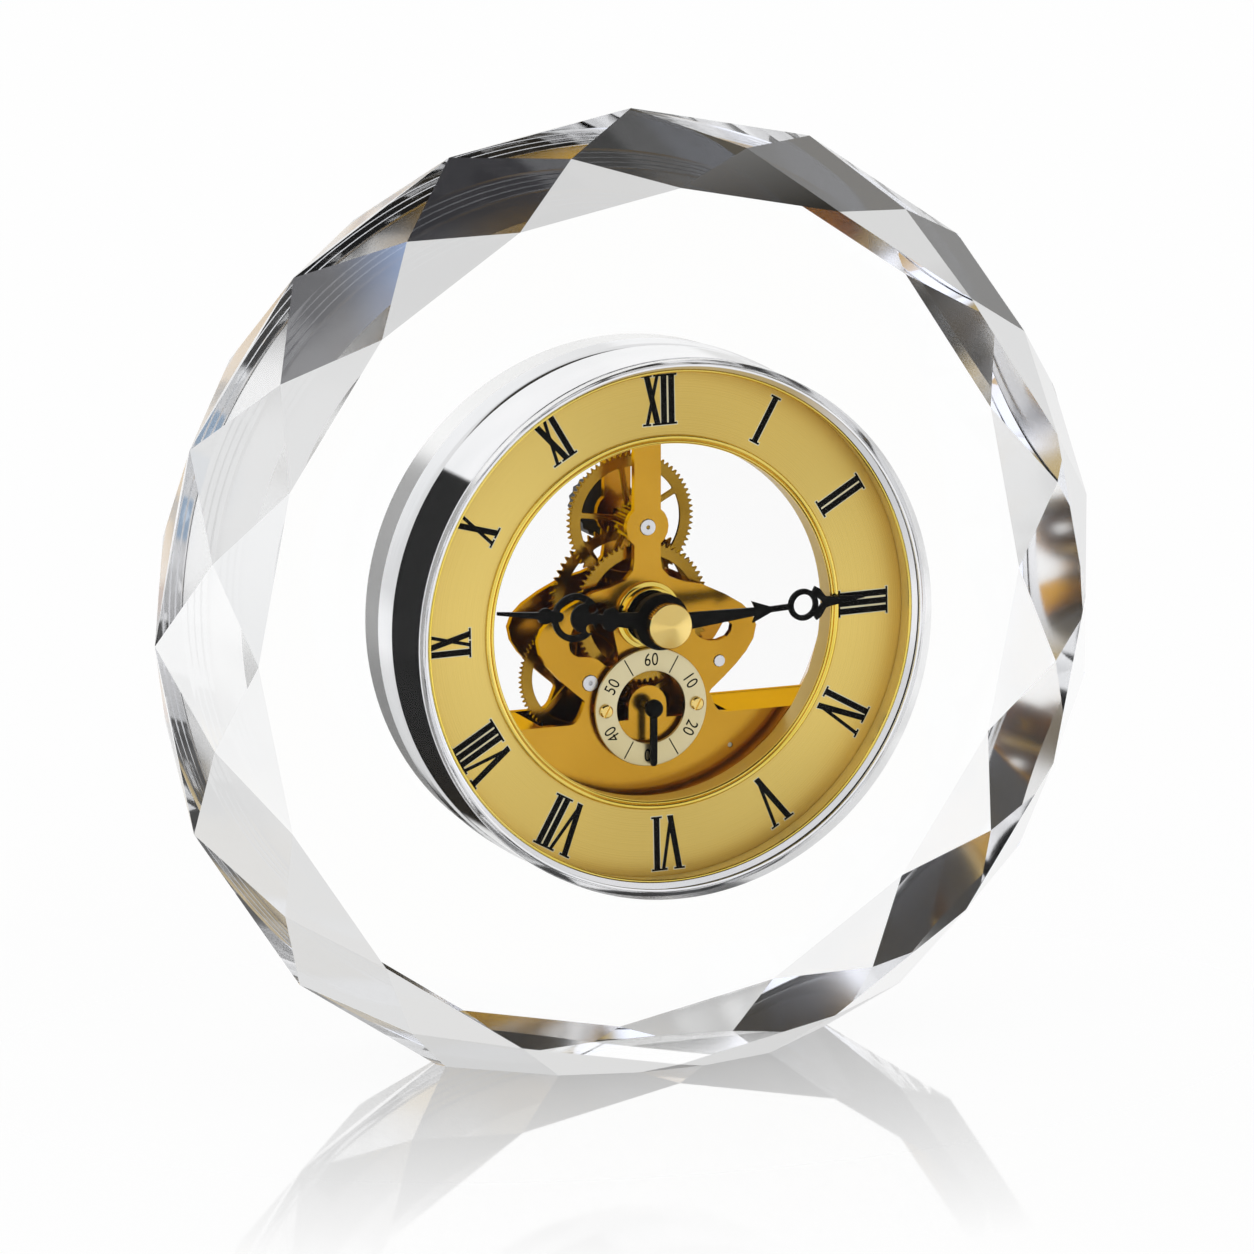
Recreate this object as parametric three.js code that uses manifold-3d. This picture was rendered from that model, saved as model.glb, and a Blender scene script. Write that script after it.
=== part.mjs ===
// Crystal table clock: a faceted round glass block with a skeleton movement in its bore.
// Millimetres, +Z up, front of the clock towards -Y, origin under the middle of the flat base.
// Inside the clock group the axes are x right, y up and z towards the viewer.
import * as THREE from 'three';
import { mergeVertices } from 'three/addons/utils/BufferGeometryUtils.js';
import Module from 'manifold-3d';

const wasm = await Module();
wasm.setup();

// Glass block
const THICKNESS = 40;
const FACETS = 16;
const FACE_R = 68.5;
const BELT_WIDTH = 5.5;
const BEVEL_WIDTH = 9.5;
const BASE_CUT = 8;
const BORE_R = 42.5;
const RIM_RECESS = 1.4;

// Running and seating clearances
const GLUE_GAP = 0.3;
const SEAT = 0.1;
const RUN = 0.1;
const PRESS = 0.1;
const STACK = 0.3;

// Case, lens and dial
const CASE_WALL = 0.9;
const LIP_HEIGHT = 0.4;
const LIP_WIDTH = 0.5;
const LENS_THICK = 0.8;
const SLOPE_DROP = 0.9;
const SLOPE_TAPER = 0.7;
const DIAL_DEPTH = 5.4;
const DIAL_THICK = 0.8;
const DIAL_OPENING_R = 28;
const TRIM_WIDTH = 1.4;
const TRIM_HEIGHT = 0.3;
const TRIM_WALL = 0.6;
const TRIM_SKIRT = 4;
const HOLDER_DEPTH = 5.4;
const HOLDER_GAP = 0.6;
const TUBE_WALL = 1.4;
const BACK_RING_THICK = 0.5;
const BACK_RING_WIDTH = 2.1;
const BACK_LENS_THICK = 1.1;
const BACK_CLEARANCE = 1.1;
const BACK_SPLIT_Y = -17.5;

// Movement plates and pillars
const PLATE_THICK = 1.2;
const PLATE_SPACE = 11.1;
const PLATE_MARGIN = 1;
const BAR_HALF = 2.2;
const BAR_INSET = 3.6;
const BOSS_R = 3.5;
const CHORD_Y = -16.4;
const LEAF_HALF_WIDTH = 18.2;
const LEAF_SHOULDER = 8.6;
const LEAF_ROOT = 7;
const SHELF_START = 13.2;
const SHELF_FILLET = 1.4;
const SHELF_STEP = 2;
const SHELF_NECK = 0.9;
const SHELF_TOP = 3.6;
const HUMP_R = 3.15;
const RING_WINDOW_R = 7.4;
const FLANGE_WALL = 1;
const FLANGE_INSET = 5.1;
const FLANGE_LEFT = -17.4;
const FLANGE_RIGHT = 13.8;
const BOSS_POST_R = 1;
const PILLAR_R = 2;
const PILLAR_TOP_INSET = 6.3;
const PILLAR_SIDE_INSET = 7.6;
const PILLAR_BELOW_CHORD = 3.2;
const SLIM_PILLAR_R = 1.5;
const SPIGOT_R = 0.9;
const SPIGOT_REACH = 3.2;
const SCREW_R = 0.75;
const SCREW_REACH = 3.6;
const SCREW_HEAD_R = 1.8;
const SCREW_HEAD_H = 0.6;
const SMALL_HEAD_R = 1.05;
const SMALL_HEAD_H = 0.5;
const SPACER_R = 1.4;
const SLOT_WIDTH = 0.5;
const SLOT_DEPTH = 0.3;
const BUSH_R = 1.25;
const BUSH_PROUD = 0.25;
const CENTRE_BUSH_R = 3.4;
const CENTRE_FLANGE_R = 5.3;
const CENTRE_FLANGE_H = 0.5;
const CENTRE_STEP_R = 4.6;
const CENTRE_STEP_H = 1.7;

// Going train and motion work: tooth counts, modules and shaft sizes
const CENTRE_TO_MINUTE = 13.8;
const CANNON_TEETH = 24;
const MINUTE_WHEEL_TEETH = 72;
const MINUTE_PINION_TEETH = 18;
const HOUR_WHEEL_TEETH = 72;
const CENTRE_WHEEL_TEETH = 64;
const THIRD_PINION_TEETH = 8;
const THIRD_WHEEL_TEETH = 75;
const SECONDS_PINION_TEETH = 10;
const SECONDS_WHEEL_TEETH = 60;
const STEP_PINION_TEETH = 10;
const STEP_WHEEL_TEETH = 50;
const ROTOR_PINION_TEETH = 10;
const SECONDS_MODULE = 0.25;
const STEP_MODULE = 0.24;
const THIRD_POS = [-9.6, -10];
const SECONDS_POS = [0, -14.3];
const SIDE_PILLAR_POS = [12, -8.2];
const STEP_ANGLE = -35;
const ROTOR_ANGLE = -20;
const WHEEL_THICK = 0.5;
const PINION_LENGTH = 1.3;
const ARBOR_R = 0.8;
const FINE_ARBOR_R = 0.5;
const PIVOT_R = 0.35;
const PIVOT_INSET = 0.2;
const CENTRE_ARBOR_R = 0.85;
const CENTRE_PIVOT_R = 0.5;
const CANNON_TUBE_R = 1.8;
const HOUR_PIPE_R = 2.6;
const SPOKES = 5;
const SPOKE_WIDTH = 1.5;
const RIM_WIDTH = 1.7;
const WHEEL_HUB_R = 2.2;
const HOUR_SPOKE_PHASE = 0.3;
const MINUTE_SPOKE_PHASE = 0.49;
const CENTRE_SPOKE_PHASE = 0.9;
const THIRD_SPOKE_PHASE = 0.2;
const SECONDS_SPOKE_PHASE = 0.5;
const STEP_SPOKE_PHASE = 0.1;

// Wheel layers above the back plate, as shares of the space between the plates
const CENTRE_LAYER = 0.1982;
const MINUTE_LAYER = 0.4324;
const MIDDLE_LAYER = 0.5405;
const SECONDS_LAYER = 0.7027;
const HOUR_LAYER = 0.8559;

// Hands and seconds dial
const HAND_THICK = 0.5;
const HOUR_HAND_GAP = 0.6;
const HOUR_HAND_LENGTH = DIAL_OPENING_R - HOUR_HAND_GAP;
const HOUR_HAND_DROP = 0.4;
const HOUR_COLLAR_R = 4.4;
const HOUR_COLLAR_H = 1.4;
const HOUR_RING_AT = 0.53 * HOUR_HAND_LENGTH;
const HOUR_RING_R = 0.1387 * HOUR_HAND_LENGTH;
const HOUR_MOON_R = 0.1004 * HOUR_HAND_LENGTH;
const HOUR_MOON_BITE_R = 0.0839 * HOUR_HAND_LENGTH;
const HOUR_EYE_R = 0.0274 * HOUR_HAND_LENGTH;
const HOUR_BEAD_AT = 0.71 * HOUR_HAND_LENGTH;
const HOUR_BEAD_R = 0.0456 * HOUR_HAND_LENGTH;
const MINUTE_HAND_OVERLAP = 5.3;
const MINUTE_HAND_LENGTH = DIAL_OPENING_R + MINUTE_HAND_OVERLAP;
const MINUTE_RING_AT = 0.69 * MINUTE_HAND_LENGTH;
const MINUTE_RING_R = 0.0751 * MINUTE_HAND_LENGTH;
const MINUTE_RING_HOLE_R = 0.0495 * MINUTE_HAND_LENGTH;
const MINUTE_HUB_R = 3.2;
const NUT_R = 3.5;
const NUT_SIDE = 1.5;
const NUT_HEIGHT = 2.5;
const NUT_KNURLS = 24;
const NUT_KNURL_DEPTH = 0.15;
const NUT_CAP = 1;
const NUT_POINT_R = 0.7;
const SECONDS_RING_R = 9.3;
const SECONDS_RING_HOLE_R = 5.9;
const SECONDS_RING_THICK = 0.6;
const SECONDS_RING_STANDOFF = 0.9;
const SECONDS_SCREW_AT = 7.6;
const SECONDS_HAND_LENGTH = 9.2;
const SECONDS_HAND_WIDTH = 0.9;
const SECONDS_CAP_R = 1.5;
const SECONDS_CAP_H = 1.1;
const SECONDS_HAND_LIFT = 0.7;

// Motor, circuit, battery and the parts reached from behind
const MAGNET_R = 1.5;
const MAGNET_LENGTH = 1.2;
const STATOR_GAP = 0.4;
const STATOR_RIM = 1.4;
const STATOR_THICK = 0.8;
const STATOR_X = [4.4, 19.5];
const STATOR_Y = [-33, -21.4];
const STATOR_ARM = 2.4;
const STATOR_POLE = 3.6;
const COIL_R = 2.2;
const COIL_INSET = 0.5;
const BOARD_X = [-6.3, 3.3];
const BOARD_Y = [-37, -23.4];
const BOARD_THICK = 0.8;
const CHIP_SIZE = 3.4;
const CHIP_THICK = 1;
const CHIP_MARGIN = 1;
const CAN_R = 0.95;
const CAN_LENGTH = 6;
const CAN_MARGIN = 2;
const BATTERY_POS = [-14.5, -25];
const BATTERY_R = 5.8;
const BATTERY_THICK = 5.4;
const BATTERY_LIFT = 0.4;
const BATTERY_STEP = 0.6;
const BATTERY_CAP_INSET = 0.9;
const CUP_WALL = 0.6;
const SPRING_SPACE = 1;
const SPRING_THICK = 0.25;
const SPRING_WIDTH = 3;
const DOOR_SIZE = [13.6, 12.8];
const DOOR_THICK = 1;
const DOOR_TRAVEL = 14;
const DOOR_RIB = 0.4;
const DOOR_RIB_PITCH = 1.4;
const RAIL_WALL = 0.5;
const RAIL_LIP = 0.6;
const KNOB_R = 5;
const KNOB_HEIGHT = 4.2;
const KNOB_RIBS = 20;
const KNOB_RIB_DEPTH = 0.35;
const KNOB_CAP = 1.2;

// Time shown, as clock angles in degrees from twelve
const MINUTE_ANGLE = 87;
const HOUR_ANGLE = 277.25;
const SECONDS_ANGLE = 180;

// Facet counts of round shapes
const RING_SIDES = 40;
const HIDDEN_SIDES = 32;
const BORE_SIDES = 40;
const HUB_SIDES = 20;
const SHAFT_SIDES = 10;
const PIN_SIDES = 8;
const WINDOW_ARC_STEPS = 4;
const LEAF_STEPS = 13;
const CRESCENT_STEPS = 10;
const LEFT_WINDOW_STEPS = 20;
const RIGHT_WINDOW_STEPS = 12;

// Glass block, worked out from its flat face
const BELT_R = FACE_R + BELT_WIDTH;
const GIRDLE_R = FACE_R + BEVEL_WIDTH;
const BASE_DROP = GIRDLE_R - BASE_CUT;

// Depths along the clock axis, worked out from the front
const CASE_R = BORE_R - GLUE_GAP;
const CASE_INNER_R = CASE_R - CASE_WALL;
const CASE_FRONT = THICKNESS / 2 - RIM_RECESS;
const STACK_R = CASE_INNER_R - STACK;
const LENS_FRONT = CASE_FRONT - LIP_HEIGHT - SEAT;
const LENS_BACK = LENS_FRONT - LENS_THICK;
const DIAL_FRONT = CASE_FRONT - DIAL_DEPTH;
const DIAL_BACK = DIAL_FRONT - DIAL_THICK;
const DIAL_VISIBLE_R = STACK_R - SLOPE_DROP;
const PLATE_R = STACK_R - TUBE_WALL - PLATE_MARGIN;
const BAR_TOP = PLATE_R - BAR_INSET;
const HOLDER_FRONT = DIAL_BACK - SEAT;
const HOLDER_BACK = HOLDER_FRONT - HOLDER_DEPTH;
const HOLDER_INNER_R = DIAL_OPENING_R + TRIM_WALL + HOLDER_GAP;
const FRONT_PLATE_FRONT = HOLDER_BACK - SEAT;
const FRONT_PLATE_BACK = FRONT_PLATE_FRONT - PLATE_THICK;
const BACK_PLATE_FRONT = FRONT_PLATE_BACK - PLATE_SPACE;
const BACK_PLATE_BACK = BACK_PLATE_FRONT - PLATE_THICK;
const BACK_LENS_FRONT = BACK_PLATE_BACK - BACK_CLEARANCE;
const BACK_LENS_BACK = BACK_LENS_FRONT - BACK_LENS_THICK;
const BACK_RING_FRONT = BACK_LENS_BACK - SEAT;
const BACK_RING_BACK = BACK_RING_FRONT - BACK_RING_THICK;
const CASE_BACK = BACK_RING_BACK;
const TUBE_BACK = BACK_LENS_FRONT + SEAT;
const TRIM_TOP = DIAL_FRONT + SEAT + TRIM_HEIGHT;
const HOUR_HAND_Z = DIAL_FRONT - HOUR_HAND_DROP - HAND_THICK;
const MINUTE_HAND_Z = TRIM_TOP + STACK;
const NUT_Z = MINUTE_HAND_Z + HAND_THICK + SEAT;
const SECONDS_RING_Z = FRONT_PLATE_FRONT + SECONDS_RING_STANDOFF;
const SECONDS_HAND_Z = SECONDS_RING_Z + SECONDS_RING_THICK + SECONDS_HAND_LIFT;

const CENTRE_LAYER_Z = BACK_PLATE_FRONT + CENTRE_LAYER * PLATE_SPACE;
const MINUTE_LAYER_Z = BACK_PLATE_FRONT + MINUTE_LAYER * PLATE_SPACE;
const MIDDLE_LAYER_Z = BACK_PLATE_FRONT + MIDDLE_LAYER * PLATE_SPACE;
const SECONDS_LAYER_Z = BACK_PLATE_FRONT + SECONDS_LAYER * PLATE_SPACE;
const HOUR_LAYER_Z = BACK_PLATE_FRONT + HOUR_LAYER * PLATE_SPACE;
const STATOR_Z = SECONDS_LAYER_Z;
const ARBOR_LOW = BACK_PLATE_FRONT + STACK;
const ARBOR_HIGH = FRONT_PLATE_BACK - STACK;
const PIVOT_BACK = BACK_PLATE_BACK + PIVOT_INSET;
const PIVOT_FRONT = FRONT_PLATE_FRONT - PIVOT_INSET;
const KNOB_FRONT = BACK_RING_BACK - 2 * SEAT;
const KNOB_BACK = KNOB_FRONT - KNOB_HEIGHT;

// Plan positions of the arbors
const MINUTE_POS = [0, CENTRE_TO_MINUTE];
const CENTRE_POS = [0, 0];
const SECONDS_SCREW_SPOTS = [-1, 1].map((side) => (
  [SECONDS_POS[0] + side * SECONDS_SCREW_AT, SECONDS_POS[1]]
));
const STEP_DISTANCE = (SECONDS_WHEEL_TEETH + STEP_PINION_TEETH) * SECONDS_MODULE / 2;
const STEP_POS = polar(SECONDS_POS, STEP_DISTANCE, STEP_ANGLE);
const ROTOR_DISTANCE = (STEP_WHEEL_TEETH + ROTOR_PINION_TEETH) * STEP_MODULE / 2;
const ROTOR_POS = polar(STEP_POS, ROTOR_DISTANCE, ROTOR_ANGLE);
const PILLAR_SPOTS = {
  pillar_top: [0, PLATE_R - PILLAR_TOP_INSET, PILLAR_R],
  pillar_left: [PILLAR_SIDE_INSET - PLATE_R, CHORD_Y - PILLAR_BELOW_CHORD, PILLAR_R],
  pillar_right: [PLATE_R - PILLAR_SIDE_INSET, CHORD_Y - PILLAR_BELOW_CHORD, PILLAR_R],
  pillar_side: [...SIDE_PILLAR_POS, SLIM_PILLAR_R],
};

// Gear modules that fill the distance between two arbors
const CANNON_MODULE = pairModule(CENTRE_POS, MINUTE_POS, CANNON_TEETH, MINUTE_WHEEL_TEETH);
const HOUR_MODULE = pairModule(CENTRE_POS, MINUTE_POS, MINUTE_PINION_TEETH, HOUR_WHEEL_TEETH);
const CENTRE_MODULE = pairModule(CENTRE_POS, THIRD_POS, THIRD_PINION_TEETH, CENTRE_WHEEL_TEETH);
const THIRD_MODULE = pairModule(SECONDS_POS, THIRD_POS, SECONDS_PINION_TEETH, THIRD_WHEEL_TEETH);

// Tooth shape, as shares of the module and of the pitch angle
const ADDENDUM = 0.75;
const DEDENDUM = 1.2;
const ROOT_SHARE = 0.29;
const TIP_SHARE = 0.07;
const FINE_TEETH = 24;

// Vertices nearer than this are one
const WELD = 1e-4;

const FINISH = {
  crystal: { color: 0xf4f8fa, roughness: 0.02, metalness: 0, transparent: true, opacity: 0.35 },
  lens: { color: 0xffffff, roughness: 0.03, metalness: 0, transparent: true, opacity: 0.25 },
  chrome: { color: 0xd8dadc, roughness: 0.06, metalness: 1 },
  gold: { color: 0xd9a63a, roughness: 0.22, metalness: 1 },
  polishedGold: { color: 0xf0c050, roughness: 0.08, metalness: 1 },
  champagne: { color: 0xcbb266, roughness: 0.35, metalness: 1 },
  brass: { color: 0xb58f3e, roughness: 0.28, metalness: 1 },
  steel: { color: 0xc3c5c8, roughness: 0.25, metalness: 1 },
  black: { color: 0x0c0c0d, roughness: 0.35, metalness: 0 },
  blackPlastic: { color: 0x17181a, roughness: 0.5, metalness: 0 },
  copper: { color: 0xa8542a, roughness: 0.4, metalness: 0.6 },
  board: { color: 0x1f5a3a, roughness: 0.5, metalness: 0 },
};

function polar(from, radius, degrees) {
  const a = THREE.MathUtils.degToRad(degrees);
  return [from[0] + radius * Math.cos(a), from[1] + radius * Math.sin(a)];
}

function pairModule(a, b, teethA, teethB) {
  return 2 * Math.hypot(a[0] - b[0], a[1] - b[1]) / (teethA + teethB);
}

// Solid operations
function toSolid(geometry) {
  const merged = mergeVertices(stripped(geometry), WELD);
  const mesh = new wasm.Mesh({
    numProp: 3,
    vertProperties: new Float32Array(merged.attributes.position.array),
    triVerts: new Uint32Array(merged.index.array),
  });
  return new wasm.Manifold(mesh);
}

function toGeometry(solid) {
  const mesh = solid.getMesh();
  const geometry = new THREE.BufferGeometry();
  geometry.setAttribute('position', new THREE.BufferAttribute(new Float32Array(mesh.vertProperties), 3));
  geometry.setIndex(new THREE.BufferAttribute(new Uint32Array(mesh.triVerts), 1));
  return geometry;
}

function union(...geometries) {
  return toGeometry(geometries.map(toSolid).reduce((a, b) => a.add(b)));
}

function cut(geometry, ...tools) {
  return toGeometry(tools.map(toSolid).reduce((a, b) => a.subtract(b), toSolid(geometry)));
}

function common(a, b) {
  return toGeometry(toSolid(a).intersect(toSolid(b)));
}

// Basic bodies along z
function ring(outer, inner, low, high, sides = RING_SIDES) {
  return revolve([[outer, low], [outer, high], [inner, high], [inner, low]], sides);
}

function revolve(points, sides = RING_SIDES) {
  const closed = [...points, points[0]].map(([r, z]) => new THREE.Vector2(r, z));
  const geometry = new THREE.LatheGeometry(closed, sides);
  geometry.rotateX(Math.PI / 2);
  return orient(geometry);
}

function turned(points, sides = SHAFT_SIDES) {
  const profile = points.map(([r, z]) => new THREE.Vector2(r, z));
  const geometry = new THREE.LatheGeometry(profile, sides);
  geometry.rotateX(Math.PI / 2);
  return orient(geometry);
}

function orient(geometry) {
  const merged = mergeVertices(stripped(geometry), WELD);
  const index = merged.index.array;
  const kept = [];
  for (let i = 0; i < index.length; i += 3) {
    const [a, b, c] = [index[i], index[i + 1], index[i + 2]];
    if (a !== b && b !== c && a !== c) kept.push(a, b, c);
  }
  merged.setIndex(kept);
  if (signedVolume(merged) < 0) {
    const flipped = merged.index.array;
    for (let i = 0; i < flipped.length; i += 3) {
      [flipped[i + 1], flipped[i + 2]] = [flipped[i + 2], flipped[i + 1]];
    }
  }
  return merged;
}

function stripped(geometry) {
  const plain = geometry.clone();
  plain.deleteAttribute('normal');
  plain.deleteAttribute('uv');
  return plain;
}

function signedVolume(geometry) {
  const p = geometry.attributes.position;
  const index = geometry.index.array;
  const [a, b, c] = [new THREE.Vector3(), new THREE.Vector3(), new THREE.Vector3()];
  let sum = 0;
  for (let i = 0; i < index.length; i += 3) {
    a.fromBufferAttribute(p, index[i]);
    b.fromBufferAttribute(p, index[i + 1]);
    c.fromBufferAttribute(p, index[i + 2]);
    sum += a.dot(b.cross(c));
  }
  return sum / 6;
}

function rod(radius, low, high, sides = SHAFT_SIDES, at = [0, 0]) {
  const geometry = turned([[0, low], [radius, low], [radius, high], [0, high]], sides);
  geometry.translate(at[0], at[1], 0);
  return geometry;
}

function block(x, y, z) {
  const geometry = new THREE.BoxGeometry(x[1] - x[0], y[1] - y[0], z[1] - z[0]);
  geometry.translate((x[0] + x[1]) / 2, (y[0] + y[1]) / 2, (z[0] + z[1]) / 2);
  return geometry;
}

function extrude(shape, low, high, curveSegments = 6) {
  const settings = { depth: high - low, bevelEnabled: false, curveSegments };
  const geometry = new THREE.ExtrudeGeometry(shape, settings);
  geometry.translate(0, 0, low);
  return geometry;
}

function polygon(points) {
  return new THREE.Shape(points.map(([x, y]) => new THREE.Vector2(x, y)));
}

// Points given in hundredths of a length
function scaled(length, points) {
  return points.map(([x, y]) => [x * length / 100, y * length / 100]);
}

// A closed smooth outline through a few points
function smoothShape(points, divisions) {
  const knots = points.map(([x, y]) => new THREE.Vector3(x, y, 0));
  const curve = new THREE.CatmullRomCurve3(knots, true, 'centripetal');
  return polygon(curve.getPoints(divisions).slice(0, -1).map((p) => [p.x, p.y]));
}

// Gears, each { at, teeth, module, phase } with phase the angle of one tooth
function gear(at, teeth, module) {
  return { at, teeth, module, phase: 0 };
}

// The gear that meshes with another, turned so that its gap faces the other's tooth
function meshing(driver, at, teeth) {
  const line = Math.atan2(at[1] - driver.at[1], at[0] - driver.at[0]);
  const share = (line - driver.phase) * driver.teeth / (2 * Math.PI);
  const phase = line + Math.PI - (2 * Math.PI / teeth) * (0.5 - share);
  return { at, teeth, module: driver.module, phase };
}

function pitchRadius({ teeth, module }) {
  return teeth * module / 2;
}

function gearShape(part) {
  const pitch = 2 * Math.PI / part.teeth;
  const tip = pitchRadius(part) + ADDENDUM * part.module;
  const root = pitchRadius(part) - DEDENDUM * part.module;
  const pointed = [[-0.5, root], [0, tip]];
  const flatTopped = [[-ROOT_SHARE, root], [-TIP_SHARE, tip], [TIP_SHARE, tip], [ROOT_SHARE, root]];
  const points = [];
  for (let i = 0; i < part.teeth; i += 1) {
    const middle = part.phase + i * pitch;
    for (const [share, radius] of part.teeth < FINE_TEETH ? flatTopped : pointed) {
      const a = middle + share * pitch;
      points.push([radius * Math.cos(a), radius * Math.sin(a)]);
    }
  }
  return polygon(points);
}

function arcPoints(radius, from, to, steps) {
  return Array.from({ length: steps + 1 }, (_, i) => {
    const a = from + (to - from) * i / steps;
    return new THREE.Vector2(radius * Math.cos(a), radius * Math.sin(a));
  });
}

function circlePath(radius, sides) {
  return new THREE.Path(arcPoints(radius, 0, 2 * Math.PI * (1 - 1 / sides), sides - 1));
}

// Opening between two spokes with parallel sides
function spokeWindow(outer, inner, start, step) {
  const outerEdge = Math.asin(SPOKE_WIDTH / 2 / outer);
  const innerEdge = Math.asin(SPOKE_WIDTH / 2 / inner);
  return new THREE.Path([
    ...arcPoints(outer, start + outerEdge, start + step - outerEdge, WINDOW_ARC_STEPS),
    ...arcPoints(inner, start + step - innerEdge, start + innerEdge, 1),
  ]);
}

// Spoked wheel whose back face is at the height of its layer
function wheel(part, bore, layer, spokePhase) {
  const shape = gearShape(part);
  const rimInner = pitchRadius(part) - DEDENDUM * part.module - RIM_WIDTH;
  const step = 2 * Math.PI / SPOKES;
  for (let i = 0; i < SPOKES; i += 1) {
    shape.holes.push(spokeWindow(rimInner, WHEEL_HUB_R, spokePhase + i * step, step));
  }
  shape.holes.push(circlePath(bore, SHAFT_SIDES));
  return extrude(shape, layer, layer + WHEEL_THICK);
}

// Leaves of a pinion that mesh with a wheel on the same layer
function leaves(part, layer) {
  const middle = layer + WHEEL_THICK / 2;
  return extrude(gearShape(part), middle - PINION_LENGTH / 2, middle + PINION_LENGTH / 2);
}

// Scene graph helpers
const part = new THREE.Group();
const clock = new THREE.Group();
clock.rotation.x = Math.PI / 2;
clock.position.z = BASE_DROP;
part.add(clock);

function add(name, geometry, finish, at = [0, 0], parent = clock) {
  const mesh = new THREE.Mesh(geometry, new THREE.MeshStandardMaterial(FINISH[finish]));
  mesh.name = name;
  mesh.position.set(at[0], at[1], 0);
  parent.add(mesh);
  return mesh;
}

// Glass block: table, star, main and girdle facets on both sides, a bore and a ground base
function crystalBlank() {
  const half = THICKNESS / 2;
  const pitch = 2 * Math.PI / FACETS;
  const beltMiddle = BELT_R * Math.cos(pitch / 2);
  const beltDepth = half * (beltMiddle - FACE_R) / (GIRDLE_R - FACE_R);
  const points = [];
  const ringOf = (radius, depth, offset) => {
    const start = points.length;
    for (let i = 0; i < FACETS; i += 1) {
      const a = Math.PI / 2 - (i + offset) * pitch;
      points.push(new THREE.Vector3(radius * Math.cos(a), radius * Math.sin(a), depth));
    }
    return (i) => start + (i + FACETS) % FACETS;
  };
  const girdle = ringOf(GIRDLE_R, 0, 0);
  const triangles = [];
  for (const side of [1, -1]) {
    const face = ringOf(FACE_R, side * half, 0);
    const belt = ringOf(BELT_R, side * (half - beltDepth), 0.5);
    const centre = points.length;
    points.push(new THREE.Vector3(0, 0, side * half));
    const tri = (a, b, c) => triangles.push(side > 0 ? [a, b, c] : [a, c, b]);
    for (let i = 0; i < FACETS; i += 1) {
      tri(centre, face(i + 1), face(i));
      tri(face(i), face(i + 1), belt(i));
      tri(face(i), belt(i), girdle(i));
      tri(face(i), girdle(i), belt(i - 1));
      tri(belt(i), girdle(i + 1), girdle(i));
    }
  }
  const geometry = new THREE.BufferGeometry().setFromPoints(points);
  geometry.setIndex(triangles.flat());
  return orient(geometry);
}

function crystalBody() {
  const reach = 2 * GIRDLE_R;
  const below = block([-reach, reach], [-reach, -BASE_DROP], [-THICKNESS, THICKNESS]);
  return cut(crystalBlank(), rod(BORE_R, -THICKNESS, THICKNESS, BORE_SIDES), below);
}

add('crystal_body', crystalBody(), 'crystal');

// Chromed case, lens and sloping inner ring
function caseRing() {
  const lip = CASE_FRONT - LIP_HEIGHT;
  return revolve([
    [CASE_R, CASE_BACK], [CASE_R, CASE_FRONT], [CASE_INNER_R - LIP_WIDTH, CASE_FRONT],
    [CASE_INNER_R - LIP_WIDTH, lip], [CASE_INNER_R, lip], [CASE_INNER_R, CASE_BACK],
  ]);
}

function slopeRing() {
  const top = LENS_BACK - SEAT;
  const bottom = DIAL_FRONT + SEAT;
  const mouth = DIAL_VISIBLE_R + SLOPE_TAPER;
  return revolve([[STACK_R, bottom], [STACK_R, top], [mouth, top], [DIAL_VISIBLE_R, bottom]]);
}

add('case_ring', caseRing(), 'chrome');
add('front_lens', rod(STACK_R, LENS_BACK, LENS_FRONT, RING_SIDES), 'lens');
add('slope_ring', slopeRing(), 'chrome');

// Dial: brushed chapter ring between two polished trims
function innerTrim() {
  const flange = DIAL_FRONT + SEAT;
  const wall = DIAL_OPENING_R + TRIM_WALL;
  const skirt = flange - TRIM_SKIRT;
  return revolve([
    [wall, skirt], [wall, flange], [DIAL_OPENING_R + TRIM_WIDTH, flange],
    [DIAL_OPENING_R + TRIM_WIDTH, TRIM_TOP], [DIAL_OPENING_R, TRIM_TOP], [DIAL_OPENING_R, skirt],
  ]);
}

add('chapter_ring', ring(STACK_R, DIAL_OPENING_R + TRIM_WALL + STACK, DIAL_BACK, DIAL_FRONT), 'champagne');
add('inner_trim_ring', innerTrim(), 'polishedGold');

// Holder behind the dial: a ring with blind holes for the pillar spigots and a skirt round the plates
function holderRing() {
  const body = revolve([
    [STACK_R, TUBE_BACK], [STACK_R, HOLDER_FRONT], [HOLDER_INNER_R, HOLDER_FRONT],
    [HOLDER_INNER_R, HOLDER_BACK], [STACK_R - TUBE_WALL, HOLDER_BACK], [STACK_R - TUBE_WALL, TUBE_BACK],
  ], HIDDEN_SIDES);
  const top = FRONT_PLATE_FRONT + SPIGOT_REACH;
  const holes = Object.values(PILLAR_SPOTS)
    .filter(([x, y]) => Math.hypot(x, y) > HOLDER_INNER_R)
    .map(([x, y]) => rod(SPIGOT_R + PRESS, HOLDER_BACK - 1, top, PIN_SIDES, [x, y]));
  return cut(body, ...holes);
}

add('movement_holder', holderRing(), 'gold');

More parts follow.
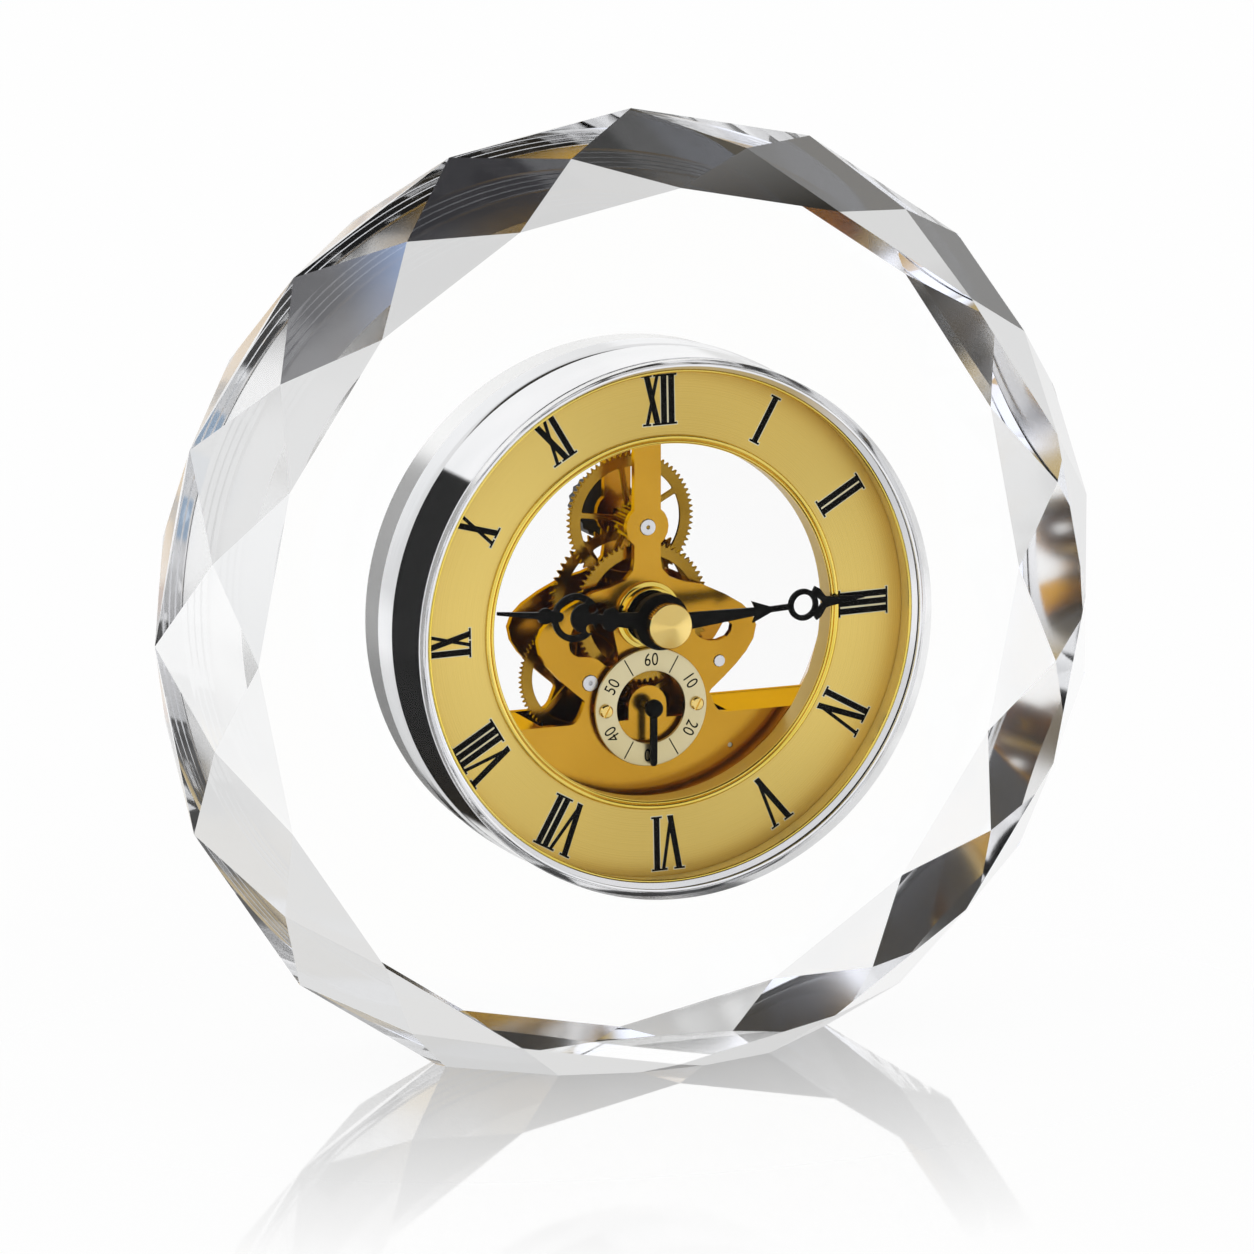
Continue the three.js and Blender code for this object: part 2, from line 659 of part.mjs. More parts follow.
// Plate outline: a leaf under a bar with a round boss
function leafOutline() {
  const right = [[BAR_HALF, LEAF_SHOULDER], ...scaled(LEAF_HALF_WIDTH, [
    [14.8, 36.3], [26.9, 28], [47.8, 23.6], [75.3, 10.4], [92.3, -1.6],
    [100, -14.3], [97.3, -29.1], [87.4, -42.9], [73.6, -56.6], [58.8, -69.2],
  ])];
  const curve = new THREE.SplineCurve(right.map(([x, y]) => new THREE.Vector2(x, y)));
  const side = curve.getPoints(LEAF_STEPS).map((p) => [p.x, p.y]);
  const mirrored = side.map(([x, y]) => [-x, y]).reverse();
  return polygon([...side, [LEAF_ROOT, CHORD_Y - 2], [-LEAF_ROOT, CHORD_Y - 2], ...mirrored]);
}

// Segment of a disc below the chord, with the two corners that rise to the leaf
function crescentOutline() {
  const startX = Math.sqrt(PLATE_R ** 2 - CHORD_Y ** 2);
  const shape = new THREE.Shape();
  const foot = SHELF_START - SHELF_STEP;
  const neck = foot - SHELF_NECK;
  shape.moveTo(startX, CHORD_Y);
  shape.lineTo(SHELF_START, CHORD_Y);
  shape.quadraticCurveTo(SHELF_START - SHELF_FILLET, CHORD_Y, foot, CHORD_Y + SHELF_FILLET);
  shape.lineTo(neck, CHORD_Y + SHELF_TOP);
  shape.lineTo(-neck, CHORD_Y + SHELF_TOP);
  shape.lineTo(-foot, CHORD_Y + SHELF_FILLET);
  shape.quadraticCurveTo(SHELF_FILLET - SHELF_START, CHORD_Y, -SHELF_START, CHORD_Y);
  shape.lineTo(-startX, CHORD_Y);
  const start = Math.atan2(CHORD_Y, -startX);
  const end = Math.atan2(CHORD_Y, startX);
  shape.absarc(0, 0, PLATE_R, start, end, false);
  return shape;
}

// Opening round the seconds arbor: a rounded window less the hump that carries the arbor
function secondsWindow(low, high) {
  const window = rod(RING_WINDOW_R, low, high, HUB_SIDES, SECONDS_POS);
  const belowChord = block([-PLATE_R, PLATE_R], [-PLATE_R, CHORD_Y], [low - 1, high + 1]);
  const hump = rod(HUMP_R, low - 1, high + 1, HUB_SIDES, SECONDS_POS);
  const stem = block([-HUMP_R, HUMP_R], [CHORD_Y - 1, SECONDS_POS[1]], [low - 1, high + 1]);
  return cut(window, belowChord, hump, stem);
}

function plateBlank(low, high) {
  const bar = block([-BAR_HALF, BAR_HALF], [0, BAR_TOP], [low, high]);
  const boss = rod(BOSS_R, low, high, HUB_SIDES, MINUTE_POS);
  const leaf = extrude(leafOutline(), low, high);
  const crescent = extrude(crescentOutline(), low, high, CRESCENT_STEPS);
  return union(leaf, crescent, bar, boss);
}

function pillarHoles(low, high) {
  return Object.values(PILLAR_SPOTS).map(([x, y]) => (
    rod(SPIGOT_R + PRESS, low - 1, high + 1, PIN_SIDES, [x, y])
  ));
}

// Straight walls folded back from the crescent's top edge, clear of the wheels between them
function flanges() {
  const back = BACK_PLATE_FRONT + STACK;
  const y = [CHORD_Y - FLANGE_WALL, CHORD_Y];
  const end = PLATE_R - FLANGE_INSET;
  return [[-end, FLANGE_LEFT], [FLANGE_RIGHT, end]].map((x) => block(x, y, [back, FRONT_PLATE_FRONT]));
}

// Bosses behind the front plate that carry the stator
function statorBosses() {
  const middleY = (STATOR_Y[0] + STATOR_Y[1]) / 2;
  return [STATOR_X[0] + STATOR_ARM / 2, STATOR_X[1] - STATOR_ARM / 2].map((x) => (
    rod(BOSS_POST_R, STATOR_Z + STATOR_THICK + SEAT, FRONT_PLATE_FRONT - SEAT, SHAFT_SIDES, [x, middleY])
  ));
}

function frontPlate() {
  const [low, high] = [FRONT_PLATE_BACK, FRONT_PLATE_FRONT];
  const hole = (radius, at, sides = SHAFT_SIDES) => rod(radius, low - 1, high + 1, sides, at);
  const leftWindow = smoothShape(scaled(LEAF_HALF_WIDTH, [
    [-72, -19.8], [-67, -3.8], [-56.6, 9.3], [-47.3, 14.8], [-37.9, 12.1],
    [-33, -3.3], [-29.7, -19.8], [-26.9, -40.7], [-35.2, -43.4], [-44, -36.3],
    [-52.7, -32.4], [-62.6, -31.9], [-69.8, -27.5],
  ]), LEFT_WINDOW_STEPS);
  const rightWindow = smoothShape(scaled(LEAF_HALF_WIDTH, [
    [45.1, -7.7], [67, -6.6], [78, -14.8], [73.1, -24.7], [56, -26.9], [44, -19.8],
  ]), RIGHT_WINDOW_STEPS);
  const ringScrews = SECONDS_SCREW_SPOTS.map((at) => hole(SCREW_R, at, PIN_SIDES));
  return cut(
    union(plateBlank(low, high), ...flanges(), ...statorBosses()),
    secondsWindow(low - 1, high + 1),
    extrude(leftWindow, low - 1, high + 1),
    extrude(rightWindow, low - 1, high + 1),
    hole(CENTRE_BUSH_R + PRESS, CENTRE_POS, HUB_SIDES),
    hole(BUSH_R + PRESS, MINUTE_POS),
    hole(BUSH_R + PRESS, THIRD_POS),
    hole(PIVOT_R + RUN, STEP_POS, PIN_SIDES),
    hole(PIVOT_R + RUN, ROTOR_POS, PIN_SIDES),
    hole(FINE_ARBOR_R + RUN, SECONDS_POS, PIN_SIDES),
    ...ringScrews,
    ...pillarHoles(low, high),
  );
}

function backPlate() {
  const [low, high] = [BACK_PLATE_BACK, BACK_PLATE_FRONT];
  const hole = (radius, at, sides = PIN_SIDES) => rod(radius, low - 1, high + 1, sides, at);
  return cut(
    plateBlank(low, high),
    hole(CENTRE_PIVOT_R + RUN, CENTRE_POS),
    hole(ARBOR_R + RUN, MINUTE_POS),
    hole(PIVOT_R + RUN, THIRD_POS),
    hole(PIVOT_R + RUN, SECONDS_POS),
    hole(PIVOT_R + RUN, STEP_POS),
    hole(PIVOT_R + RUN, ROTOR_POS),
    hole(BATTERY_R + STACK, BATTERY_POS, HUB_SIDES),
    ...pillarHoles(low, high),
  );
}

function centreBush() {
  const bore = HOUR_PIPE_R + 1.5 * RUN;
  const seat = FRONT_PLATE_FRONT + SEAT;
  return revolve([
    [CENTRE_BUSH_R, FRONT_PLATE_BACK - SEAT], [CENTRE_BUSH_R, seat], [CENTRE_FLANGE_R, seat],
    [CENTRE_FLANGE_R, seat + CENTRE_FLANGE_H], [CENTRE_STEP_R, seat + CENTRE_FLANGE_H],
    [CENTRE_STEP_R, seat + CENTRE_FLANGE_H + CENTRE_STEP_H], [bore, seat + CENTRE_FLANGE_H + CENTRE_STEP_H],
    [bore, FRONT_PLATE_BACK - SEAT],
  ], HUB_SIDES);
}

function pivotBush() {
  const top = FRONT_PLATE_FRONT + BUSH_PROUD;
  return ring(BUSH_R, PIVOT_R + RUN, FRONT_PLATE_BACK, top, SHAFT_SIDES);
}

add('front_plate', frontPlate(), 'gold');
add('back_plate', backPlate(), 'gold');
add('centre_bush', centreBush(), 'polishedGold');
add('pivot_bush_top', pivotBush(), 'steel', MINUTE_POS);
add('pivot_bush_left', pivotBush(), 'steel', THIRD_POS);

// Pillars: shouldered between the plates, spigot forwards, tapped from behind
function pillar(name, radius) {
  const low = BACK_PLATE_FRONT + SEAT;
  const high = FRONT_PLATE_BACK - SEAT;
  const inHolder = Math.hypot(PILLAR_SPOTS[name][0], PILLAR_SPOTS[name][1]) > HOLDER_INNER_R;
  const tip = FRONT_PLATE_FRONT + (inHolder ? SPIGOT_REACH - STACK : BUSH_PROUD);
  const body = turned([
    [0, low], [radius, low], [radius, high], [SPIGOT_R, high], [SPIGOT_R, tip], [0, tip],
  ]);
  return cut(body, rod(SCREW_R + PRESS, low - 1, low + SCREW_REACH + STACK, PIN_SIDES));
}

function slottedScrew(headR, headH, shankR, seatZ, reach, direction) {
  const top = seatZ + direction * headH;
  const tip = seatZ - direction * reach;
  const points = [[0, top], [headR, top], [headR, seatZ], [shankR, seatZ], [shankR, tip], [0, tip]];
  const slotZ = [top - direction * SLOT_DEPTH, top + direction].sort((a, b) => a - b);
  return cut(turned(points), block([-2 * headR, 2 * headR], [-SLOT_WIDTH / 2, SLOT_WIDTH / 2], slotZ));
}

for (const [name, [x, y, radius]] of Object.entries(PILLAR_SPOTS)) {
  add(name, pillar(name, radius), 'steel', [x, y]);
  const reach = PLATE_THICK + SCREW_REACH;
  const screw = slottedScrew(SCREW_HEAD_R, SCREW_HEAD_H, SCREW_R, BACK_PLATE_BACK - SEAT, reach, -1);
  add(name.replace('pillar', 'plate_screw'), screw, 'steel', [x, y]);
}

// Motion work and going train
const cannonGear = gear(CENTRE_POS, CANNON_TEETH, CANNON_MODULE);
const minuteGear = meshing(cannonGear, MINUTE_POS, MINUTE_WHEEL_TEETH);
const minuteLeaves = gear(MINUTE_POS, MINUTE_PINION_TEETH, HOUR_MODULE);
const hourGear = meshing(minuteLeaves, CENTRE_POS, HOUR_WHEEL_TEETH);
const centreGear = gear(CENTRE_POS, CENTRE_WHEEL_TEETH, CENTRE_MODULE);
const thirdLeaves = meshing(centreGear, THIRD_POS, THIRD_PINION_TEETH);
const thirdGear = gear(THIRD_POS, THIRD_WHEEL_TEETH, THIRD_MODULE);
const secondsLeaves = meshing(thirdGear, SECONDS_POS, SECONDS_PINION_TEETH);
const secondsGear = gear(SECONDS_POS, SECONDS_WHEEL_TEETH, SECONDS_MODULE);
const stepLeaves = meshing(secondsGear, STEP_POS, STEP_PINION_TEETH);
const stepGear = gear(STEP_POS, STEP_WHEEL_TEETH, STEP_MODULE);
const rotorLeaves = meshing(stepGear, ROTOR_POS, ROTOR_PINION_TEETH);

// A stepped shaft given as [radius, end] for each length, from the back pivot forwards
function shaft(start, steps, sides = PIN_SIDES) {
  const profile = [[0, start]];
  let z = start;
  for (const [radius, end] of steps) {
    profile.push([radius, z], [radius, end]);
    z = end;
  }
  return turned([...profile, [0, z]], sides);
}

function centreArbor() {
  const tip = NUT_Z + NUT_HEIGHT - NUT_CAP;
  return shaft(PIVOT_BACK, [[CENTRE_PIVOT_R, ARBOR_LOW], [CENTRE_ARBOR_R, tip]], SHAFT_SIDES);
}

function cannonPinion() {
  const low = MINUTE_LAYER_Z - (PINION_LENGTH - WHEEL_THICK) / 2;
  const tube = rod(CANNON_TUBE_R, low, MINUTE_HAND_Z + HAND_THICK, HUB_SIDES);
  const bore = rod(CENTRE_ARBOR_R + PRESS, low - 1, NUT_Z + 1);
  return cut(union(leaves(cannonGear, MINUTE_LAYER_Z), tube), bore);
}

function hourWheel() {
  const bore = CANNON_TUBE_R + RUN;
  const disc = wheel(hourGear, bore, HOUR_LAYER_Z, HOUR_SPOKE_PHASE);
  const pipe = rod(HOUR_PIPE_R, HOUR_LAYER_Z - STACK, HOUR_HAND_Z + HAND_THICK, HUB_SIDES);
  return cut(union(disc, pipe), rod(bore, HOUR_LAYER_Z - 1, HOUR_HAND_Z + 1, HUB_SIDES));
}

// Long pinion on the shaft that the setting knob turns
function minutePinion() {
  const low = MINUTE_LAYER_Z + WHEEL_THICK + SEAT;
  const steps = [[ARBOR_R, ARBOR_HIGH], [PIVOT_R, PIVOT_FRONT]];
  return union(extrude(gearShape(minuteLeaves), low, ARBOR_HIGH), shaft(KNOB_BACK + KNOB_CAP, steps));
}

// Circle with shallow grooves, for the knob and the nut
function knurled(radius, depth, ribs, low, high) {
  const points = Array.from({ length: 2 * ribs }, (_, i) => {
    const a = Math.PI * i / ribs;
    const r = i % 2 ? radius - depth : radius;
    return [r * Math.cos(a), r * Math.sin(a)];
  });
  return extrude(polygon(points), low, high);
}

function settingKnob() {
  const body = knurled(KNOB_R, KNOB_RIB_DEPTH, KNOB_RIBS, KNOB_BACK, KNOB_FRONT);
  return cut(body, rod(ARBOR_R + PRESS, KNOB_BACK + KNOB_CAP - SEAT, KNOB_FRONT + 1, PIN_SIDES));
}

function trainArbor(radius, pinion) {
  const steps = [[PIVOT_R, ARBOR_LOW], [radius, ARBOR_HIGH], [PIVOT_R, PIVOT_FRONT]];
  return union(shaft(PIVOT_BACK, steps), pinion);
}

function secondsArbor() {
  const tip = SECONDS_HAND_Z + HAND_THICK;
  const steps = [[PIVOT_R, ARBOR_LOW], [ARBOR_R, ARBOR_HIGH], [FINE_ARBOR_R, tip]];
  return union(shaft(PIVOT_BACK, steps), leaves(secondsLeaves, MIDDLE_LAYER_Z));
}

add('centre_arbor', centreArbor(), 'steel');
add('centre_wheel', wheel(centreGear, CENTRE_ARBOR_R + PRESS, CENTRE_LAYER_Z, CENTRE_SPOKE_PHASE), 'brass');
add('cannon_pinion', cannonPinion(), 'brass');
add('hour_wheel', hourWheel(), 'brass');
const minuteWheel = wheel(minuteGear, ARBOR_R + PRESS, MINUTE_LAYER_Z, MINUTE_SPOKE_PHASE);
add('minute_wheel', minuteWheel, 'brass', MINUTE_POS);
add('minute_pinion', minutePinion(), 'brass', MINUTE_POS);
add('setting_knob', settingKnob(), 'blackPlastic', MINUTE_POS);

const thirdWheel = wheel(thirdGear, ARBOR_R + PRESS, MIDDLE_LAYER_Z, THIRD_SPOKE_PHASE);
add('third_arbor', trainArbor(ARBOR_R, leaves(thirdLeaves, CENTRE_LAYER_Z)), 'steel', THIRD_POS);
add('third_wheel', thirdWheel, 'brass', THIRD_POS);
const secondsWheel = wheel(secondsGear, ARBOR_R + PRESS, SECONDS_LAYER_Z, SECONDS_SPOKE_PHASE);
add('seconds_arbor', secondsArbor(), 'steel', SECONDS_POS);
add('seconds_wheel', secondsWheel, 'brass', SECONDS_POS);
const stepWheel = wheel(stepGear, FINE_ARBOR_R + PRESS, MIDDLE_LAYER_Z, STEP_SPOKE_PHASE);
add('step_arbor', trainArbor(FINE_ARBOR_R, leaves(stepLeaves, SECONDS_LAYER_Z)), 'steel', STEP_POS);
add('step_wheel', stepWheel, 'brass', STEP_POS);
add('rotor_pinion', trainArbor(FINE_ARBOR_R, leaves(rotorLeaves, MIDDLE_LAYER_Z)), 'steel', ROTOR_POS);

// Stepping motor
const MAGNET_LOW = STATOR_Z + STATOR_THICK / 2 - MAGNET_LENGTH / 2;

function stator() {
  const [x0, x1] = STATOR_X;
  const [y0, y1] = STATOR_Y;
  const [low, high] = [STATOR_Z, STATOR_Z + STATOR_THICK];
  const bore = MAGNET_R + STATOR_GAP;
  const frame = cut(
    union(block(STATOR_X, STATOR_Y, [low, high]), rod(bore + STATOR_RIM, low, high, HUB_SIDES, ROTOR_POS)),
    block([x0 + STATOR_ARM, x1 - STATOR_ARM], [y0 + STATOR_ARM, y1 - STATOR_POLE], [low - 1, high + 1]),
  );
  return cut(frame, rod(bore, low - 1, high + 1, HUB_SIDES, ROTOR_POS));
}

// Winding on the lower bar of the stator, square hole through a round barrel
function motorCoil() {
  const [x0, x1] = STATOR_X;
  const barY = STATOR_Y[0] + STATOR_ARM / 2;
  const length = x1 - x0 - 2 * STATOR_ARM - 2 * COIL_INSET;
  const barrel = rod(COIL_R, -length / 2, length / 2, HUB_SIDES);
  barrel.rotateY(Math.PI / 2);
  barrel.translate((x0 + x1) / 2, barY, STATOR_Z + STATOR_THICK / 2);
  const half = STATOR_ARM / 2 + PRESS;
  const z = [STATOR_Z - PRESS, STATOR_Z + STATOR_THICK + PRESS];
  return cut(barrel, block([x0, x1], [barY - half, barY + half], z));
}

const magnet = ring(MAGNET_R, FINE_ARBOR_R + PRESS, MAGNET_LOW, MAGNET_LOW + MAGNET_LENGTH, SHAFT_SIDES);
add('rotor_magnet', magnet, 'steel', ROTOR_POS);
add('stator', stator(), 'steel');
add('motor_coil', motorCoil(), 'copper');

// Circuit board with its chip and quartz can, seated on the back plate
const BOARD_Z = BACK_PLATE_FRONT + SEAT;
const BOARD_TOP = BOARD_Z + BOARD_THICK;
const BOARD_MIDDLE_X = (BOARD_X[0] + BOARD_X[1]) / 2;
const CHIP_AT = [BOARD_MIDDLE_X, BOARD_Y[0] + CHIP_MARGIN + CHIP_SIZE / 2];
const CAN_AT = [BOARD_MIDDLE_X, BOARD_Y[1] - CAN_MARGIN - CAN_R];

function controlChip() {
  const half = CHIP_SIZE / 2;
  return block([-half, half], [-half, half], [BOARD_TOP + SEAT, BOARD_TOP + SEAT + CHIP_THICK]);
}

add('circuit_board', block(BOARD_X, BOARD_Y, [BOARD_Z, BOARD_TOP]), 'board');
add('control_chip', controlChip(), 'black', CHIP_AT);

function quartzCan() {
  const can = rod(CAN_R, -CAN_LENGTH / 2, CAN_LENGTH / 2, SHAFT_SIDES);
  can.rotateY(Math.PI / 2);
  can.translate(0, 0, BOARD_TOP + SEAT + CAN_R);
  return can;
}

add('quartz_can', quartzCan(), 'steel', CAN_AT);

// Battery, its spring contact and the sliding door behind it
const BATTERY_BACK = BACK_LENS_FRONT + BATTERY_LIFT;
const BATTERY_FRONT = BATTERY_BACK + BATTERY_THICK;
const CUP_FLOOR = BATTERY_FRONT + SPRING_SPACE;

function buttonCell() {
  const cap = BATTERY_R - BATTERY_CAP_INSET;
  return shaft(BATTERY_BACK, [[BATTERY_R, BATTERY_FRONT - BATTERY_STEP], [cap, BATTERY_FRONT]], HUB_SIDES);
}

// Moulded cup that holds the cell, its mouth against the back plate
function batteryCup() {
  const inner = BATTERY_R + STACK;
  const outer = inner + CUP_WALL;
  const mouth = BACK_PLATE_FRONT + SEAT;
  return turned([
    [0, CUP_FLOOR + CUP_WALL], [outer, CUP_FLOOR + CUP_WALL], [outer, mouth], [inner, mouth],
    [inner, CUP_FLOOR], [0, CUP_FLOOR],
  ], HUB_SIDES);
}

// Leaf spring: bowed strip whose middle bears on the cell and whose ends bear on the cup's floor
function contactSpring() {
  const low = BATTERY_FRONT + SEAT;
  const high = CUP_FLOOR - SEAT;
  const half = BATTERY_R - 1;
  const crown = 2 * low - high + SPRING_THICK;
  const shape = new THREE.Shape();
  shape.moveTo(-half, high - SPRING_THICK);
  shape.quadraticCurveTo(0, crown, half, high - SPRING_THICK);
  shape.lineTo(half, high);
  shape.quadraticCurveTo(0, crown + 2 * SPRING_THICK, -half, high);
  shape.closePath();
  const settings = { depth: SPRING_WIDTH, bevelEnabled: false, curveSegments: 6 };
  const strip = new THREE.ExtrudeGeometry(shape, settings);
  strip.rotateX(Math.PI / 2);
  strip.translate(0, SPRING_WIDTH / 2, 0);
  return strip;
}

add('battery_cell', buttonCell(), 'steel', BATTERY_POS);
add('battery_cup', batteryCup(), 'blackPlastic', BATTERY_POS);
add('battery_spring', contactSpring(), 'steel', BATTERY_POS);

// Rear closing: clear window above, moulded back below, both behind one snap ring
function backDisc(above) {
  const disc = rod(STACK_R, BACK_LENS_BACK, BACK_LENS_FRONT, RING_SIDES);
  const reach = 2 * STACK_R;
  const y = above ? [-reach, BACK_SPLIT_Y + STACK / 2] : [BACK_SPLIT_Y - STACK / 2, reach];
  return cut(disc, block([-reach, reach], y, [BACK_LENS_BACK - 1, BACK_LENS_FRONT + 1]));
}

const [DOOR_W, DOOR_H] = DOOR_SIZE;
const DOOR_Z = [BACK_LENS_BACK - SEAT - DOOR_THICK, BACK_LENS_BACK - SEAT];

// Moulded back with the battery opening and two rails that hold the door
function moduleBack() {
  const hole = rod(BATTERY_R + STACK, BACK_LENS_BACK - 1, BACK_LENS_FRONT + 1, HUB_SIDES, BATTERY_POS);
  const body = cut(backDisc(false), hole);
  const x = [BATTERY_POS[0] - DOOR_W / 2, BATTERY_POS[0] + DOOR_W / 2 + DOOR_TRAVEL];
  const tail = DOOR_Z[0] - STACK;
  const rails = [-1, 1].flatMap((side) => {
    const edge = BATTERY_POS[1] + side * (DOOR_H / 2 + STACK);
    const wall = [edge, edge + side * RAIL_WALL].sort((a, b) => a - b);
    const lip = [edge - side * RAIL_LIP - side * STACK, edge + side * RAIL_WALL].sort((a, b) => a - b);
    return [block(x, wall, [tail - RAIL_WALL, BACK_LENS_FRONT]), block(x, lip, [tail - RAIL_WALL, tail])];
  });
  return union(body, ...rails);
}

function batteryDoor() {
  const plate = block([-DOOR_W / 2, DOOR_W / 2], [-DOOR_H / 2, DOOR_H / 2], DOOR_Z);
  const ribs = [-1, 0, 1].map((i) => {
    const x = DOOR_W / 4 + i * DOOR_RIB_PITCH;
    const z = [DOOR_Z[0] - DOOR_RIB, DOOR_Z[0] + DOOR_RIB / 2];
    return block([x - DOOR_RIB, x + DOOR_RIB], [-DOOR_H / 4, DOOR_H / 4], z);
  });
  return union(plate, ...ribs);
}

const knobHole = rod(KNOB_R / 2, BACK_LENS_BACK - 1, BACK_LENS_FRONT + 1, HUB_SIDES, MINUTE_POS);
add('back_lens', cut(backDisc(true), knobHole), 'lens');
add('module_back', moduleBack(), 'blackPlastic');
add('battery_door', batteryDoor(), 'blackPlastic', BATTERY_POS);
const snapRing = ring(STACK_R, STACK_R - BACK_RING_WIDTH, BACK_RING_BACK, BACK_RING_FRONT, HIDDEN_SIDES);
add('back_snap_ring', snapRing, 'chrome');

// Seconds dial on two spacers
function secondsRing() {
  const [low, high] = [SECONDS_RING_Z, SECONDS_RING_Z + SECONDS_RING_THICK];
  const spots = [[-SECONDS_SCREW_AT, 0], [SECONDS_SCREW_AT, 0]];
  const holes = spots.map((at) => rod(SCREW_R, low - 1, high + 1, PIN_SIDES, at));
  return cut(ring(SECONDS_RING_R, SECONDS_RING_HOLE_R, low, high, HIDDEN_SIDES), ...holes);
}

function secondsScrew() {
  const seat = SECONDS_RING_Z + SECONDS_RING_THICK + SEAT;
  return slottedScrew(SMALL_HEAD_R, SMALL_HEAD_H, SCREW_R - PRESS, seat, seat - FRONT_PLATE_BACK, 1);
}

add('seconds_ring', secondsRing(), 'champagne', SECONDS_POS);
SECONDS_SCREW_SPOTS.forEach((at, i) => {
  const side = ['left', 'right'][i];
  const spacer = ring(SPACER_R, SCREW_R, FRONT_PLATE_FRONT + SEAT, SECONDS_RING_Z - SEAT, SHAFT_SIDES);
  add(`seconds_screw_${side}`, secondsScrew(), 'brass', at);
  add(`seconds_spacer_${side}`, spacer, 'brass', at);
});

// Hands, drawn pointing along +y and then turned to the time shown
function turnedTo(geometry, clockAngle) {
  geometry.rotateZ(-THREE.MathUtils.degToRad(clockAngle));
  return geometry;
}

// Both sides of an outline given as [half width, length] from the hub outwards
function tapered(right) {
  const left = right.map(([half, y]) => [-half, y]).reverse();
  return polygon([...right, ...left]);
}

// The forms along both large hands are in hundredths of their length
function hourHand() {
  const [low, high] = [HOUR_HAND_Z, HOUR_HAND_Z + HAND_THICK];
  const forms = [
    [[5.5, 0], [4, 27.7]],
    [[3.6, 26.3], [7.3, 29.9], [5.5, 35], [2.9, 36.1]],
    [[2.6, 34.7], [2.6, 43.8]],
    [[4, 64.2], [2, 73], [0.9, 100]],
  ];
  const disc = (radius, at, sides = HUB_SIDES) => rod(radius, low, high, sides, at);
  const drill = (radius, at, sides = HUB_SIDES) => rod(radius, low - 1, high + 1, sides, at);
  const solid = union(
    rod(HOUR_COLLAR_R, high - HOUR_COLLAR_H, high, HUB_SIDES),
    ...forms.map((points) => extrude(tapered(scaled(HOUR_HAND_LENGTH, points)), low, high)),
    disc(HOUR_RING_R, [0, HOUR_RING_AT]),
    disc(HOUR_BEAD_R, [0, HOUR_BEAD_AT], SHAFT_SIDES),
  );
  const moon = cut(
    drill(HOUR_MOON_R, [0, HOUR_RING_AT]),
    rod(HOUR_MOON_BITE_R, low - 2, high + 2, HUB_SIDES, [0, HOUR_RING_AT - HOUR_MOON_R / 2]),
    rod(HOUR_EYE_R, low - 2, high + 2, PIN_SIDES, [0, HOUR_RING_AT + HOUR_MOON_R]),
  );
  const eyes = [-1, 1].map((side) => (
    drill(HOUR_EYE_R, [2 * side * HOUR_EYE_R, HOUR_RING_AT - HOUR_MOON_R], PIN_SIDES)
  ));
  const bore = rod(HOUR_PIPE_R + PRESS, high - HOUR_COLLAR_H - 1, high + 1, HUB_SIDES);
  return turnedTo(cut(solid, moon, ...eyes, bore), HOUR_ANGLE);
}

function minuteHand() {
  const [low, high] = [MINUTE_HAND_Z, MINUTE_HAND_Z + HAND_THICK];
  const forms = [
    [[4.7, 0], [1.8, 46.8]],
    [[1.5, 44.7], [5.1, 43.2], [1.5, 52.3]],
    [[1.4, 45], [1.4, 64.3]],
    [[0.3, 78.7], [5.1, 73.6], [8.1, 75.4], [6.6, 77.8], [2.7, 80.5], [2.3, 82.9], [0.5, 100]],
  ];
  const drill = (radius, at) => rod(radius, low - 1, high + 1, HUB_SIDES, at);
  const solid = union(
    rod(MINUTE_HUB_R, low, high, HUB_SIDES),
    ...forms.map((points) => extrude(tapered(scaled(MINUTE_HAND_LENGTH, points)), low, high)),
    rod(MINUTE_RING_R, low, high, HUB_SIDES, [0, MINUTE_RING_AT]),
  );
  const eye = drill(MINUTE_RING_HOLE_R, [0, MINUTE_RING_AT]);
  return turnedTo(cut(solid, eye, drill(CANNON_TUBE_R + PRESS)), MINUTE_ANGLE);
}

// Knurled nut with a conical cap
function handNut() {
  const top = NUT_Z + NUT_HEIGHT;
  const wide = NUT_R + NUT_KNURL_DEPTH;
  const cone = turned([
    [0, NUT_Z - 1], [wide, NUT_Z - 1], [wide, NUT_Z + NUT_SIDE], [NUT_POINT_R, top], [0, top],
  ], HUB_SIDES);
  const body = knurled(NUT_R, NUT_KNURL_DEPTH, NUT_KNURLS, NUT_Z, top + 1);
  return cut(common(body, cone), rod(CENTRE_ARBOR_R + PRESS, NUT_Z - 1, top - NUT_CAP + SEAT));
}

function secondsHand() {
  const [low, high] = [SECONDS_HAND_Z, SECONDS_HAND_Z + HAND_THICK];
  const half = SECONDS_HAND_WIDTH / 2;
  const top = high + SECONDS_CAP_H;
  const bar = tapered([[half, 0], [half, SECONDS_HAND_LENGTH - half], [half / 2, SECONDS_HAND_LENGTH]]);
  const cap = turned([
    [0, low], [SECONDS_CAP_R, low], [SECONDS_CAP_R, high],
    [SECONDS_CAP_R * 0.8, high + SECONDS_CAP_H * 0.65], [SECONDS_CAP_R * 0.4, top], [0, top],
  ]);
  const bore = rod(FINE_ARBOR_R + PRESS, low - 1, high + SEAT, PIN_SIDES);
  return turnedTo(cut(union(cap, extrude(bar, low, high)), bore), SECONDS_ANGLE);
}

add('hour_hand', hourHand(), 'black');
add('minute_hand', minuteHand(), 'black');
add('hand_nut', handNut(), 'polishedGold');
add('seconds_hand', secondsHand(), 'black', SECONDS_POS);

export default part;
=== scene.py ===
"""Looks of the crystal table clock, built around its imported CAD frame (Blender 4.5)."""

import math

import bmesh
import bpy
from mathutils import Matrix, Vector

